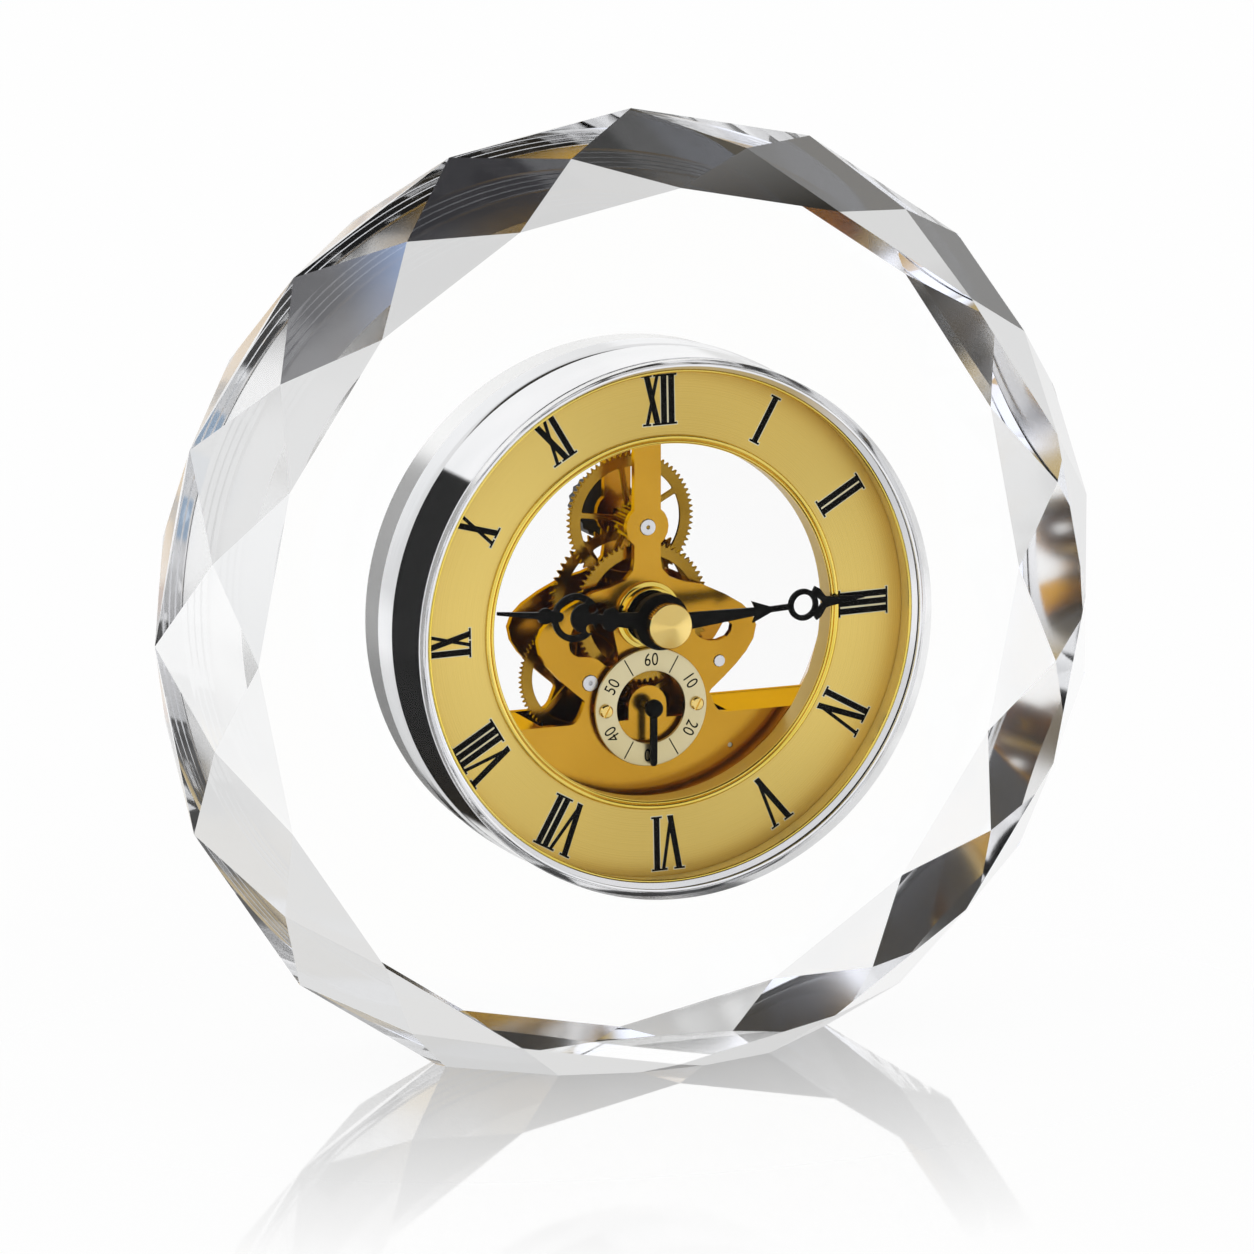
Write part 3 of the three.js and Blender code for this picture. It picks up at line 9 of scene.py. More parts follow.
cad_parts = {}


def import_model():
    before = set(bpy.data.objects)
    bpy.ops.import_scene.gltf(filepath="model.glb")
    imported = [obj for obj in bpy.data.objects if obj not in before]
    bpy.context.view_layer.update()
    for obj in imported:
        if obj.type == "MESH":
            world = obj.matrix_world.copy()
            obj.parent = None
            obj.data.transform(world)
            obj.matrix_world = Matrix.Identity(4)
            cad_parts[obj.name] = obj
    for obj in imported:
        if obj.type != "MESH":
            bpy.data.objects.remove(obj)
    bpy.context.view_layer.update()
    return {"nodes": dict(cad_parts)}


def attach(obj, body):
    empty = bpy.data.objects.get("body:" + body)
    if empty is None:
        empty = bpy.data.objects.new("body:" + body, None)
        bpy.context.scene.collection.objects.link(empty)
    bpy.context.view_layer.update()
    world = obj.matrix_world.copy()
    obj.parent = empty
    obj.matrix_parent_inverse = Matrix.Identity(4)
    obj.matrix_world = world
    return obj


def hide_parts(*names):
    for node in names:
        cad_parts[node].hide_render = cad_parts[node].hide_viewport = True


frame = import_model()
NODES = frame["nodes"]

# Dial coordinates: millimetres, x right, y up from the hands' axis, z towards the viewer
AXIS_HEIGHT = 70.0
TO_WORLD = (
    Matrix.Translation((0, 0, AXIS_HEIGHT / 1000))
    @ Matrix.Rotation(math.pi / 2, 4, "X")
    @ Matrix.Scale(0.001, 4)
)
CENTRE = (0.0, 0.0)
MINUTE_POS = (0.0, 13.8)
THIRD_POS = (-9.6, -10.0)
SECONDS_POS = (0.0, -14.3)
STEP_POS = (7.168, -19.319)
ROTOR_POS = (13.933, -21.781)
# Rear and front face of each hand
HOUR_LEVEL, MINUTE_LEVEL, SECONDS_LEVEL = (12.3, 12.8), (13.9, 14.4), (9.0, 9.5)

# Sides of a turned piece, and the angles (degrees) and limits (mm) that meshes are made with
ROUND = 144
SMOOTH_ANGLE = 32
PLANAR_ANGLE, EDGE_ANGLE = 2, 40
EDGE_STEPS = 2
WELD = 1e-5
ON_AXIS = 1e-6
CORNER_STEPS, CORNER_SHARE = 3, 0.45


# ---------------------------------------------------------------- mesh helpers
def circle(radius, sides=ROUND, at=CENTRE):
    turns = [2 * math.pi * i / sides for i in range(sides)]
    return [(at[0] + radius * math.cos(a), at[1] + radius * math.sin(a)) for a in turns]


def arc(radius, start, end, steps):
    turns = [start + (end - start) * i / steps for i in range(steps + 1)]
    return [(radius * math.cos(a), radius * math.sin(a)) for a in turns]


def oblong(left, right, low, high):
    """Rectangle, as an outline or as the section of a plain ring."""
    return [(left, low), (right, low), (right, high), (left, high)]


def shifted(loop, at):
    return [(x + at[0], y + at[1]) for x, y in loop]


def softened(points, radius):
    """A closed outline with its corners rounded."""
    out = []
    count = len(points)
    for i in range(count):
        here = Vector(points[i])
        before = Vector(points[i - 1]) - here
        after = Vector(points[(i + 1) % count]) - here
        cut = min(radius, before.length * CORNER_SHARE, after.length * CORNER_SHARE)
        first = here + before.normalized() * cut
        last = here + after.normalized() * cut
        for k in range(CORNER_STEPS + 1):
            t = k / CORNER_STEPS
            p = first * (1 - t) ** 2 + here * 2 * t * (1 - t) + last * t**2
            out.append((p.x, p.y))
    return out


def mesh_from(bm):
    bmesh.ops.remove_doubles(bm, verts=bm.verts, dist=WELD)
    bmesh.ops.recalc_face_normals(bm, faces=bm.faces)
    mesh = bpy.data.meshes.new("shape")
    bm.to_mesh(mesh)
    bm.free()
    return mesh


def lathe(profile, at=CENTRE, sides=ROUND, wave=None):
    """Mesh turned about z from (radius, z) points, closed unless it ends on the axis.

    wave gives what is added to the radius, from the place round the axis, the radius and z.
    """
    bm = bmesh.new()
    angles = [2 * math.pi * i / sides for i in range(sides)]
    rings = []
    for radius, z in profile:
        if radius < ON_AXIS:
            rings.append([bm.verts.new((at[0], at[1], z))])
            continue
        ring = []
        for i, a in enumerate(angles):
            r = radius + (wave(i, radius, z) if wave else 0)
            ring.append(bm.verts.new((at[0] + r * math.cos(a), at[1] + r * math.sin(a), z)))
        rings.append(ring)
    pairs = list(zip(rings, rings[1:]))
    if len(rings[0]) > 1 and len(rings[-1]) > 1:
        pairs.append((rings[-1], rings[0]))
    for lower, upper in pairs:
        for i in range(sides):
            j = (i + 1) % sides
            a, b = lower[i % len(lower)], lower[j % len(lower)]
            c, d = upper[j % len(upper)], upper[i % len(upper)]
            corners = []
            for v in (a, b, c, d):
                if v not in corners:
                    corners.append(v)
            if len(corners) > 2:
                bm.faces.new(corners)
    return mesh_from(bm)


def evaluated(obj):
    graph = bpy.context.evaluated_depsgraph_get()
    return bpy.data.meshes.new_from_object(obj.evaluated_get(graph))


def slab(loops, low, high, bevel):
    """Flat plate from closed outlines (holes included), with bevelled edges."""
    curve = bpy.data.curves.new("outline", "CURVE")
    curve.dimensions = "2D"
    curve.fill_mode = "BOTH"
    curve.extrude = (high - low) / 2 - bevel
    curve.bevel_depth = bevel
    curve.bevel_resolution = 0
    curve.offset = -bevel
    for loop in loops:
        spline = curve.splines.new("POLY")
        spline.points.add(len(loop) - 1)
        for point, (x, y) in zip(spline.points, loop):
            point.co = (x, y, 0, 1)
        spline.use_cyclic_u = True
    holder = bpy.data.objects.new("outline", curve)
    bpy.context.scene.collection.objects.link(holder)
    flat = evaluated(holder)
    bpy.data.objects.remove(holder)
    bpy.data.curves.remove(curve)
    flat.transform(Matrix.Translation((0, 0, (low + high) / 2)))
    bm = bmesh.new()
    bm.from_mesh(flat)
    bpy.data.meshes.remove(flat)
    return mesh_from(bm)


def prism(points, low, high):
    bm = bmesh.new()
    bottom = [bm.verts.new((x, y, low)) for x, y in points]
    top = [bm.verts.new((x, y, high)) for x, y in points]
    bm.faces.new(bottom)
    bm.faces.new(top)
    for i in range(len(points)):
        j = (i + 1) % len(points)
        bm.faces.new((bottom[i], bottom[j], top[j], top[i]))
    return mesh_from(bm)


def joined(meshes):
    """Several closed meshes in one."""
    bm = bmesh.new()
    for mesh in meshes:
        bm.from_mesh(mesh)
    out = bpy.data.meshes.new("shape")
    bm.to_mesh(out)
    bm.free()
    return out


def combined(base, add=(), cut=()):
    """Boolean union and difference."""
    scene = bpy.context.scene
    body = bpy.data.objects.new("body", base)
    scene.collection.objects.link(body)
    for meshes, operation in ((add, "UNION"), (cut, "DIFFERENCE")):
        for mesh in meshes:
            tool = bpy.data.objects.new("tool", mesh)
            scene.collection.objects.link(tool)
            modifier = body.modifiers.new("boolean", "BOOLEAN")
            modifier.operation = operation
            modifier.solver = "EXACT"
            modifier.object = tool
            body.data = evaluated(body)
            body.modifiers.clear()
            bpy.data.objects.remove(tool)
    result = body.data
    bpy.data.objects.remove(body)
    return result


def spun(mesh, degrees):
    """Turned clockwise about the hands' axis, as the dial is read."""
    mesh.transform(Matrix.Rotation(-math.radians(degrees), 4, "Z"))
    return mesh


def moved(mesh, at):
    mesh.transform(Matrix.Translation((*at, 0)))
    return mesh


def piece(name, mesh, material, slot, *nodes, body="clock", smooth=SMOOTH_ANGLE, bevel=None):
    """An object from a mesh in dial coordinates, on its body, standing for its CAD nodes."""
    mesh.transform(TO_WORLD)
    mesh.name = name
    obj = bpy.data.objects.new(name, mesh)
    bpy.context.scene.collection.objects.link(obj)
    mesh.materials.clear()
    mesh.materials.append(material)
    if bevel:
        rounding(obj, bevel)
    mesh.shade_smooth()
    mesh.set_sharp_from_angle(angle=math.radians(smooth))
    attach(obj, body)
    if nodes:
        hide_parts(*nodes)
    return obj


def rounding(obj, width):
    """Bevelled edges by modifiers, on a CAD node as well."""
    flat = obj.modifiers.new("planar", "DECIMATE")
    flat.decimate_type = "DISSOLVE"
    flat.angle_limit = math.radians(PLANAR_ANGLE)
    bevel = obj.modifiers.new("edges", "BEVEL")
    bevel.width = width / 1000
    bevel.segments = EDGE_STEPS
    bevel.limit_method = "ANGLE"
    bevel.angle_limit = math.radians(EDGE_ANGLE)
    bevel.harden_normals = True


def dress(name, material, bevel=None):
    """A CAD node that keeps its shape."""
    obj = NODES[name]
    obj.data.materials.clear()
    obj.data.materials.append(material)
    obj.data.shade_smooth()
    obj.data.set_sharp_from_angle(angle=math.radians(SMOOTH_ANGLE))
    if bevel:
        rounding(obj, bevel)
    return obj


# ---------------------------------------------------------------- materials
# Depths of bumps in metres, and the place of the two colours of a ramp
GRAIN_DEPTH, BRUSH_DEPTH = 0.0001, 0.00005
DARK_STOP, LIGHT_STOP = 0.3, 0.7
BRUSH_SCALE = 9000.0
GLASS_IOR = 1.52


def feed(tree, socket, value):
    """A link into a socket, or a value."""
    if hasattr(value, "links"):
        tree.links.new(value, socket)
    else:
        socket.default_value = value


def add_node(tree, kind, *values, **named):
    """A shader node: values go to its inputs in order, names in small letters are its settings."""
    node = tree.nodes.new("ShaderNode" + kind)
    for key, value in named.items():
        if key.islower():
            setattr(node, key, value)
    for key, value in named.items():
        if not key.islower():
            feed(tree, node.inputs[key.replace("_", " ")], value)
    for socket, value in zip(node.inputs, values):
        feed(tree, socket, value)
    return node


class Nodes:
    """A material's node tree, with the object's own coordinates."""

    def __init__(self, name):
        self.material = bpy.data.materials.new(name)
        self.material.use_nodes = True
        self.tree = self.material.node_tree
        self.shader = self.tree.nodes["Principled BSDF"]
        self.place = self.add("TexCoord").outputs["Object"]

    def add(self, kind, *values, **named):
        return add_node(self.tree, kind, *values, **named)

    def set(self, **inputs):
        for key, value in inputs.items():
            feed(self.tree, self.shader.inputs[key.replace("_", " ")], value)

    def noise(self, scale, detail=3.0, vector=None):
        vector = vector or self.place
        return self.add("TexNoise", Vector=vector, Scale=scale, Detail=detail).outputs["Fac"]

    def ramp(self, factor, dark, light):
        node = self.add("ValToRGB", Fac=factor)
        stops = ((DARK_STOP, dark), (LIGHT_STOP, light))
        for element, (position, color) in zip(node.color_ramp.elements, stops):
            element.position = position
            element.color = (*color, 1)
        return node.outputs["Color"]

    def spread(self, factor, low, high):
        return self.add("MapRange", Value=factor, To_Min=low, To_Max=high).outputs["Result"]

    def bump(self, height, strength, distance):
        node = self.add("Bump", Height=height, Strength=strength, Distance=distance)
        self.set(Normal=node.outputs["Normal"])


def metal(name, dark, light, rough, grain=900, bump=0.05, edge=(1, 1, 1), metallic=1.0):
    """Metal whose colour and polish vary a little; edge tints the light at grazing angles."""
    n = Nodes(name)
    n.set(Metallic=metallic, Specular_Tint=(*edge, 1))
    n.set(Base_Color=n.ramp(n.noise(60, 2), dark, light))
    fine = n.noise(grain, 4)
    n.set(Roughness=n.spread(fine, rough * 0.8, rough * 1.25))
    n.bump(fine, bump, GRAIN_DEPTH)
    return n.material


def turned_finish(name, dark, light, rough, metallic=1.0):
    """Metal with circular brushing about the dial's axis."""
    n = Nodes(name)
    n.set(Metallic=metallic, Anisotropic=0.9, Anisotropic_Rotation=0.25)
    place = n.add("SeparateXYZ", Vector=n.place)
    lifted = n.add("Math", place.outputs["Z"], AXIS_HEIGHT / 1000, operation="SUBTRACT")
    flat = n.add("CombineXYZ", X=place.outputs["X"], Y=lifted.outputs[0])
    radius = n.add("VectorMath", flat.outputs["Vector"], operation="LENGTH")
    rings = n.add("CombineXYZ", X=radius.outputs["Value"])
    lines = n.noise(BRUSH_SCALE, 2.0, rings.outputs["Vector"])
    n.set(Base_Color=n.ramp(lines, dark, light))
    n.set(Roughness=n.spread(lines, rough * 0.85, rough * 1.15))
    n.set(Tangent=n.add("Tangent", direction_type="RADIAL", axis="Y").outputs["Tangent"])
    n.bump(lines, 0.12, BRUSH_DEPTH)
    return n.material


def paint(name, color, rough, coat=0.0, shine=0.5):
    """Paint, ink or plastic with a fine grain."""
    n = Nodes(name)
    n.set(Specular_IOR_Level=shine)
    low = tuple(c * 0.8 for c in color)
    n.set(Base_Color=n.ramp(n.noise(200), low, color))
    grain = n.noise(1500)
    n.set(Roughness=n.spread(grain, rough * 0.8, rough * 1.2))
    n.set(Coat_Weight=coat, Coat_Roughness=0.08)
    n.bump(grain, 0.06, GRAIN_DEPTH)
    return n.material


def glass(name, tint, rough=0.0, gloss=1.0):
    """Solid glass; gloss is the share of its surface reflection that is kept."""
    n = Nodes(name)
    n.set(Base_Color=(*tint, 1), Transmission_Weight=1.0, Roughness=rough, IOR=GLASS_IOR)
    n.set(Specular_Tint=(gloss, gloss, gloss, 1))
    return n.material


def clear_sheet(name, alpha):
    n = Nodes(name)
    n.set(Base_Color=(0.2, 0.2, 0.2, 1), Alpha=alpha, Roughness=0.02)
    return n.material


DEEP_EDGE = (1, 0.72, 0.2)
CRYSTAL = glass("crystal", (0.992, 0.995, 0.994), gloss=0.25)
CRYSTAL_CUT = glass("crystal_cut", (0.95, 0.953, 0.957), gloss=0.5)
CRYSTAL_BORE = glass("crystal_bore", (0.97, 0.97, 0.97), 0.22)
LENS = clear_sheet("lens", 0.012)
CHROME = metal("chrome", (0.80, 0.81, 0.83), (0.90, 0.90, 0.92), 0.05, bump=0.01)
STEEL = metal("steel", (0.50, 0.51, 0.53), (0.66, 0.67, 0.68), 0.28)
RIVET = metal("rivet_steel", (0.72, 0.73, 0.76), (0.80, 0.81, 0.84), 0.35)
GOLD_PLATE = metal(
    "gold_plate", (0.52, 0.27, 0.022), (0.62, 0.34, 0.035), 0.2, grain=600, edge=DEEP_EDGE
)
GOLD_BACK = metal("gold_back_plate", (0.40, 0.17, 0.012), (0.55, 0.28, 0.03), 0.18, edge=DEEP_EDGE)
HOLDER_GOLD = metal(
    "holder_gold", (0.78, 0.48, 0.07), (0.88, 0.60, 0.12), 0.35, edge=(1, 0.8, 0.3), metallic=0.35
)
TRIM_WALL = metal("trim_wall", (0.68, 0.46, 0.08), (0.78, 0.55, 0.12), 0.3, metallic=0.35)
POLISHED = metal(
    "polished_gold", (0.82, 0.62, 0.10), (0.90, 0.70, 0.18), 0.08, bump=0.01, edge=(1, 0.85, 0.4)
)
NUT_BRASS = metal(
    "nut_brass", (0.78, 0.55, 0.16), (0.88, 0.68, 0.26), 0.13, bump=0.02, edge=(1, 0.85, 0.5)
)
CHAMPAGNE = turned_finish("champagne", (0.76, 0.545, 0.125), (0.95, 0.73, 0.235), 0.38)
SLOPE = turned_finish("slope_satin", (0.72, 0.53, 0.14), (0.86, 0.67, 0.22), 0.3, metallic=0.4)
SECONDS_CREAM = metal("seconds_dial", (0.66, 0.56, 0.30), (0.78, 0.70, 0.46), 0.3)
BRASS = metal("brass", (0.24, 0.13, 0.012), (0.44, 0.26, 0.035), 0.18, edge=(1, 0.75, 0.25))
BLACK = paint("black_hands", (0.003, 0.003, 0.003), 0.3, shine=0.05)
INK = paint("numeral_ink", (0.003, 0.003, 0.003), 0.5, shine=0.05)
PALE_INK = paint("numeral_edge", (0.82, 0.78, 0.56), 0.5)
PLASTIC = paint("black_plastic", (0.025, 0.025, 0.028), 0.5)
COPPER = metal("enamelled_copper", (0.40, 0.12, 0.04), (0.55, 0.20, 0.08), 0.3)
BOARD = paint("circuit_board", (0.03, 0.16, 0.07), 0.4, coat=0.4)


# ---------------------------------------------------------------- crystal
FACETS = 16
FACE_R, BELT_R, GIRDLE_R = 68.5, 74.0, 78.0
HALF_THICK = 20.0
BELT_DEPTH = 8.586
BORE_R, BORE_SIDES = 42.1, 192
OVERSHOOT = 5
FACET_SMOOTH = 12
HULL_FLAT = 0.5
# How square to the view a face counts as flat or as a wall, and how near the bore's faces lie
SQUARE, EDGEWISE, BORE_SLACK = 0.99, 0.01, 0.5
CUT_INDEX, BORE_INDEX = 1, 2


def crystal_mesh():
    step = 2 * math.pi / FACETS
    bm = bmesh.new()
    for k in range(FACETS):
        for radius, turn, depths in (
            (FACE_R, k, (-HALF_THICK, HALF_THICK)),
            (BELT_R, k + 0.5, (BELT_DEPTH - HALF_THICK, HALF_THICK - BELT_DEPTH)),
            (GIRDLE_R, k, (0.0,)),
        ):
            a = math.pi / 2 - turn * step
            for z in depths:
                bm.verts.new((radius * math.cos(a), radius * math.sin(a), z))
    bmesh.ops.convex_hull(bm, input=bm.verts)
    flat = math.radians(HULL_FLAT)
    bmesh.ops.dissolve_limit(bm, angle_limit=flat, verts=bm.verts, edges=bm.edges)
    base = bmesh.ops.bisect_plane(
        bm,
        geom=bm.verts[:] + bm.edges[:] + bm.faces[:],
        plane_co=(0, -AXIS_HEIGHT, 0),
        plane_no=(0, -1, 0),
        clear_outer=True,
    )
    edges = [g for g in base["geom_cut"] if isinstance(g, bmesh.types.BMEdge)]
    bmesh.ops.holes_fill(bm, edges=edges)
    block = mesh_from(bm)
    reach = HALF_THICK + OVERSHOOT
    return combined(block, cut=[prism(circle(BORE_R, BORE_SIDES), -reach, reach)])


def crystal():
    """The cut facets and the ground bore are a little less clear than the flat faces."""
    mesh = piece(
        "crystal_glass", crystal_mesh(), CRYSTAL, "crystal", "crystal_body", smooth=FACET_SMOOTH
    ).data
    mesh.materials.append(CRYSTAL_CUT)
    mesh.materials.append(CRYSTAL_BORE)
    for face in mesh.polygons:
        x, z = face.center.x * 1000, face.center.z * 1000 - AXIS_HEIGHT
        flat = abs(face.normal.y) > SQUARE
        wall = abs(face.normal.y) < EDGEWISE
        if wall and abs(math.hypot(x, z) - BORE_R) < BORE_SLACK:
            face.material_index = BORE_INDEX
        elif not flat and face.normal.z > -SQUARE:
            face.material_index = CUT_INDEX


crystal()


# ---------------------------------------------------------------- case, lenses and dial
CASE_R, CASE_INSIDE_R, CASE_BACK = 42.2, 41.3, -9.5
LIP_R, LIP_TOP = 40.8, 18.6
SEAT_R = 41
LENS_BACK, LENS_FRONT = 17.3, 18.1
DIAL_BACK, DIAL_FRONT = 12.4, 13.2
SLOPE_BACK, SLOPE_FRONT = 13.3, 16.9
TRIM_R, OPENING_R, TRIM_BACK, TRIM_FOOT = 28.6, 28.0, 9.3, 13.25
TRIM_WALL_TILT, TRIM_WALL_INDEX = 0.1, 1
BEAD_STEPS, BEAD_SMOOTH = 10, 50
BACK_RING_R, BACK_RING_FRONT = 38.9, -9.0


def turned_ring(
    name, profile, material, slot, node, at=CENTRE, corner=0.12, sides=ROUND, smooth=SMOOTH_ANGLE
):
    mesh = lathe(softened(profile, corner), at, sides)
    return piece(name, mesh, material, slot, node, smooth=smooth)


def bead(radius, half, foot, height):
    """Points over a round bead, from its outside in."""
    turns = [math.pi * k / BEAD_STEPS for k in range(BEAD_STEPS + 1)]
    return [(radius + half * math.cos(a), foot + height * math.sin(a)) for a in turns]


# Ribs on the rear of the drum: how many, their pitch, and the radius of their crests
RIBS, RIB_PITCH, RIB_R = 4, 2.1, 42.49
RIB_FALL = RIB_PITCH - 0.05
ribs = []
for k in range(RIBS):
    foot = RIB_PITCH * k + CASE_BACK
    ribs += [(RIB_R, foot), (CASE_R, foot + RIB_FALL)]
# Points close together near the lip keep the long face's shading flat
drum = [(CASE_R, z) for z in (-0.8, 16.8, 17.1, 17.4)]
lip = [(42.1, 17.7), (41.4, 18.4), (41.15, LIP_TOP), (LIP_R, LIP_TOP), (LIP_R, 18.2)]
inside = [(CASE_INSIDE_R, 18.2), (CASE_INSIDE_R, CASE_BACK)]
turned_ring(
    "case_shell", ribs + drum + lip + inside, CHROME, "chrome", "case_ring",
    corner=0.05, smooth=FACET_SMOOTH,
)
turned_ring(
    "front_glass", oblong(0.01, SEAT_R, LENS_BACK, LENS_FRONT), LENS, "lens", "front_lens"
)
turned_ring(
    "slope_rim",
    [(SEAT_R, SLOPE_BACK), (SEAT_R, SLOPE_FRONT), (39.75, SLOPE_FRONT), (40.0, SLOPE_BACK)],
    SLOPE, "champagne", "slope_ring", corner=0.06,
)
slope_edge = lathe(bead(39.9, 0.26, 16.88, 0.24))
piece("slope_edge", slope_edge, POLISHED, "polished_gold", smooth=BEAD_SMOOTH)
flange = lathe([(SEAT_R, SLOPE_FRONT), (SEAT_R, 17.25), (40.16, 16.96), (40.16, SLOPE_FRONT)])
piece("slope_flange", flange, CHROME, "chrome", smooth=FACET_SMOOTH)
turned_ring(
    "dial_ring", oblong(28.7, SEAT_R, DIAL_BACK, DIAL_FRONT), CHAMPAGNE, "champagne",
    "chapter_ring", corner=0.05,
)
trim = [(TRIM_R, TRIM_BACK), (TRIM_R, TRIM_FOOT)]
trim += bead(28.98, 0.42, TRIM_FOOT, 0.35) + bead(28.3, 0.24, TRIM_FOOT, 0.3)
trim += [(OPENING_R, TRIM_FOOT), (OPENING_R, TRIM_BACK)]
inner_trim = piece(
    "inner_trim", lathe(trim), POLISHED, "polished_gold", "inner_trim_ring", smooth=BEAD_SMOOTH
)
inner_trim.data.materials.append(TRIM_WALL)
for face in inner_trim.data.polygons:
    if abs(face.normal.y) < TRIM_WALL_TILT:
        face.material_index = TRIM_WALL_INDEX
turned_ring(
    "back_ring", oblong(BACK_RING_R, SEAT_R, CASE_BACK, BACK_RING_FRONT), CHROME, "chrome",
    "back_snap_ring",
)
dress("movement_holder", HOLDER_GOLD)
dress("back_lens", LENS)
dress("module_back", PLASTIC, 0.15)


# ---------------------------------------------------------------- plates
PLATE_BACK = 5.6
BUSH_BORE, BUSH_R, BUSH_TOP = 0.3, 1.25, 7.05
dress("front_plate", GOLD_PLATE, 0.22)
dress("back_plate", GOLD_BACK, 0.2)
turned_ring(
    "centre_flange",
    [
        (3.4, 5.5), (3.4, 6.9), (5.3, 6.9), (5.3, 7.4),
        (4.6, 7.4), (4.6, 9.1), (2.75, 9.1), (2.75, 5.5),
    ],
    POLISHED, "polished_gold", "centre_bush", sides=96,
)
for spot, at in (("top", MINUTE_POS), ("left", THIRD_POS)):
    turned_ring(
        "bush_" + spot, oblong(BUSH_BORE, BUSH_R, PLATE_BACK, BUSH_TOP), RIVET, "steel",
        "pivot_bush_" + spot, at, corner=0.1, sides=48,
    )
for spot, material in (("top", STEEL), ("left", STEEL), ("right", STEEL), ("side", RIVET)):
    dress("pillar_" + spot, material)
    dress("plate_screw_" + spot, STEEL, 0.08)


# ---------------------------------------------------------------- gear train
SPOKES = 5
RIM, HUB, SPOKE = 1.7, 2.2, 0.9
WHEEL_THICK = 0.5
WHEEL_EDGE, LEAF_EDGE = 0.07, 0.04
WINDOW_CORNER = 0.55
# A tooth over and under the pitch circle in modules, and half its width in shares of the pitch
ADDENDUM, DEDENDUM = 0.75, 1.2
ROOT_SHARE, MIDDLE_SHARE, TIP_SHARE = 0.34, 0.2, 0.05
MIDDLE_INSET = 0.998


def gear(at, teeth, module):
    return {"at": at, "teeth": teeth, "module": module, "phase": 0.0}


def meshing(driver, at, teeth):
    """A gear turned so that its gaps meet the driver's teeth."""
    line = math.atan2(at[1] - driver["at"][1], at[0] - driver["at"][0])
    share = (line - driver["phase"]) * driver["teeth"] / (2 * math.pi)
    phase = line + math.pi - (2 * math.pi / teeth) * (0.5 - share)
    return {"at": at, "teeth": teeth, "module": driver["module"], "phase": phase}


def pair_module(a, b, first, second):
    return 2 * math.dist(a, b) / (first + second)


def tooth_loop(g):
    pitch = 2 * math.pi / g["teeth"]
    middle = g["teeth"] * g["module"] / 2
    tip = middle + ADDENDUM * g["module"]
    root = middle - DEDENDUM * g["module"]
    half = [(ROOT_SHARE, root), (MIDDLE_SHARE, middle * MIDDLE_INSET), (TIP_SHARE, tip)]
    flank = [(-share, r) for share, r in half] + half[::-1]
    return [
        (r * math.cos(a), r * math.sin(a))
        for i in range(g["teeth"])
        for share, r in flank
        for a in [g["phase"] + (i + share) * pitch]
    ]


def wheel_mesh(g, bore, low, spoke_phase):
    outer = g["teeth"] * g["module"] / 2 - DEDENDUM * g["module"] - RIM
    loops = [tooth_loop(g), circle(bore, 32)]
    step = 2 * math.pi / SPOKES
    wide, near = math.asin(SPOKE / 2 / outer), math.asin(SPOKE / 2 / HUB)
    for i in range(SPOKES):
        start = spoke_phase + i * step
        window = arc(outer, start + wide, start + step - wide, 14)
        window += arc(HUB, start + step - near, start + near, 4)
        loops.append(softened(window, WINDOW_CORNER))
    return slab([shifted(loop, g["at"]) for loop in loops], low, low + WHEEL_THICK, WHEEL_EDGE)


def leaves_mesh(g, bore, low, high):
    loops = [tooth_loop(g)] + ([circle(bore, 24)] if bore else [])
    return slab([shifted(loop, g["at"]) for loop in loops], low, high, LEAF_EDGE)


def tube_mesh(outer, inner, low, high):
    return lathe(softened(oblong(inner, outer, low, high), 0.1), sides=48)


def shaft_mesh(at, steps, start):
    """Arbor from (radius, end) steps."""
    profile = [(0, start)]
    z = start
    for radius, end in steps:
        profile += [(radius, z), (radius, end)]
        z = end
    return lathe(profile + [(0, z)], at, 32)


cannon = gear(CENTRE, 24, pair_module(CENTRE, MINUTE_POS, 24, 72))
minute_gear = meshing(cannon, MINUTE_POS, 72)
minute_leaves = gear(MINUTE_POS, 18, pair_module(CENTRE, MINUTE_POS, 18, 72))
hour_gear = meshing(minute_leaves, CENTRE, 72)
centre_gear = gear(CENTRE, 64, pair_module(CENTRE, THIRD_POS, 64, 8))
third_leaves = meshing(centre_gear, THIRD_POS, 8)
third_gear = gear(THIRD_POS, 75, pair_module(THIRD_POS, SECONDS_POS, 75, 10))
seconds_leaves = meshing(third_gear, SECONDS_POS, 10)
seconds_gear = gear(SECONDS_POS, 60, 0.25)
step_leaves = meshing(seconds_gear, STEP_POS, 10)
step_gear = gear(STEP_POS, 50, 0.24)
rotor_leaves = meshing(step_gear, ROTOR_POS, 10)

CENTRE_Z, MINUTE_Z, MIDDLE_Z, SECONDS_Z, HOUR_Z = -3.3, -0.7, 0.5, 2.3, 4.0
for name, g, bore, low, phase, body in (
    ("centre_wheel", centre_gear, 0.95, CENTRE_Z, 0.9, "minute"),
    ("minute_wheel", minute_gear, 0.7, MINUTE_Z, 0.49, "motion"),
    ("third_wheel", third_gear, 0.7, MIDDLE_Z, 0.2, "third"),
    ("seconds_wheel", seconds_gear, 0.7, SECONDS_Z, 0.5, "seconds"),
    ("step_wheel", step_gear, 0.5, MIDDLE_Z, 0.1, "step"),
):
    piece(name + "_cut", wheel_mesh(g, bore, low, phase), BRASS, "brass", name, body=body)

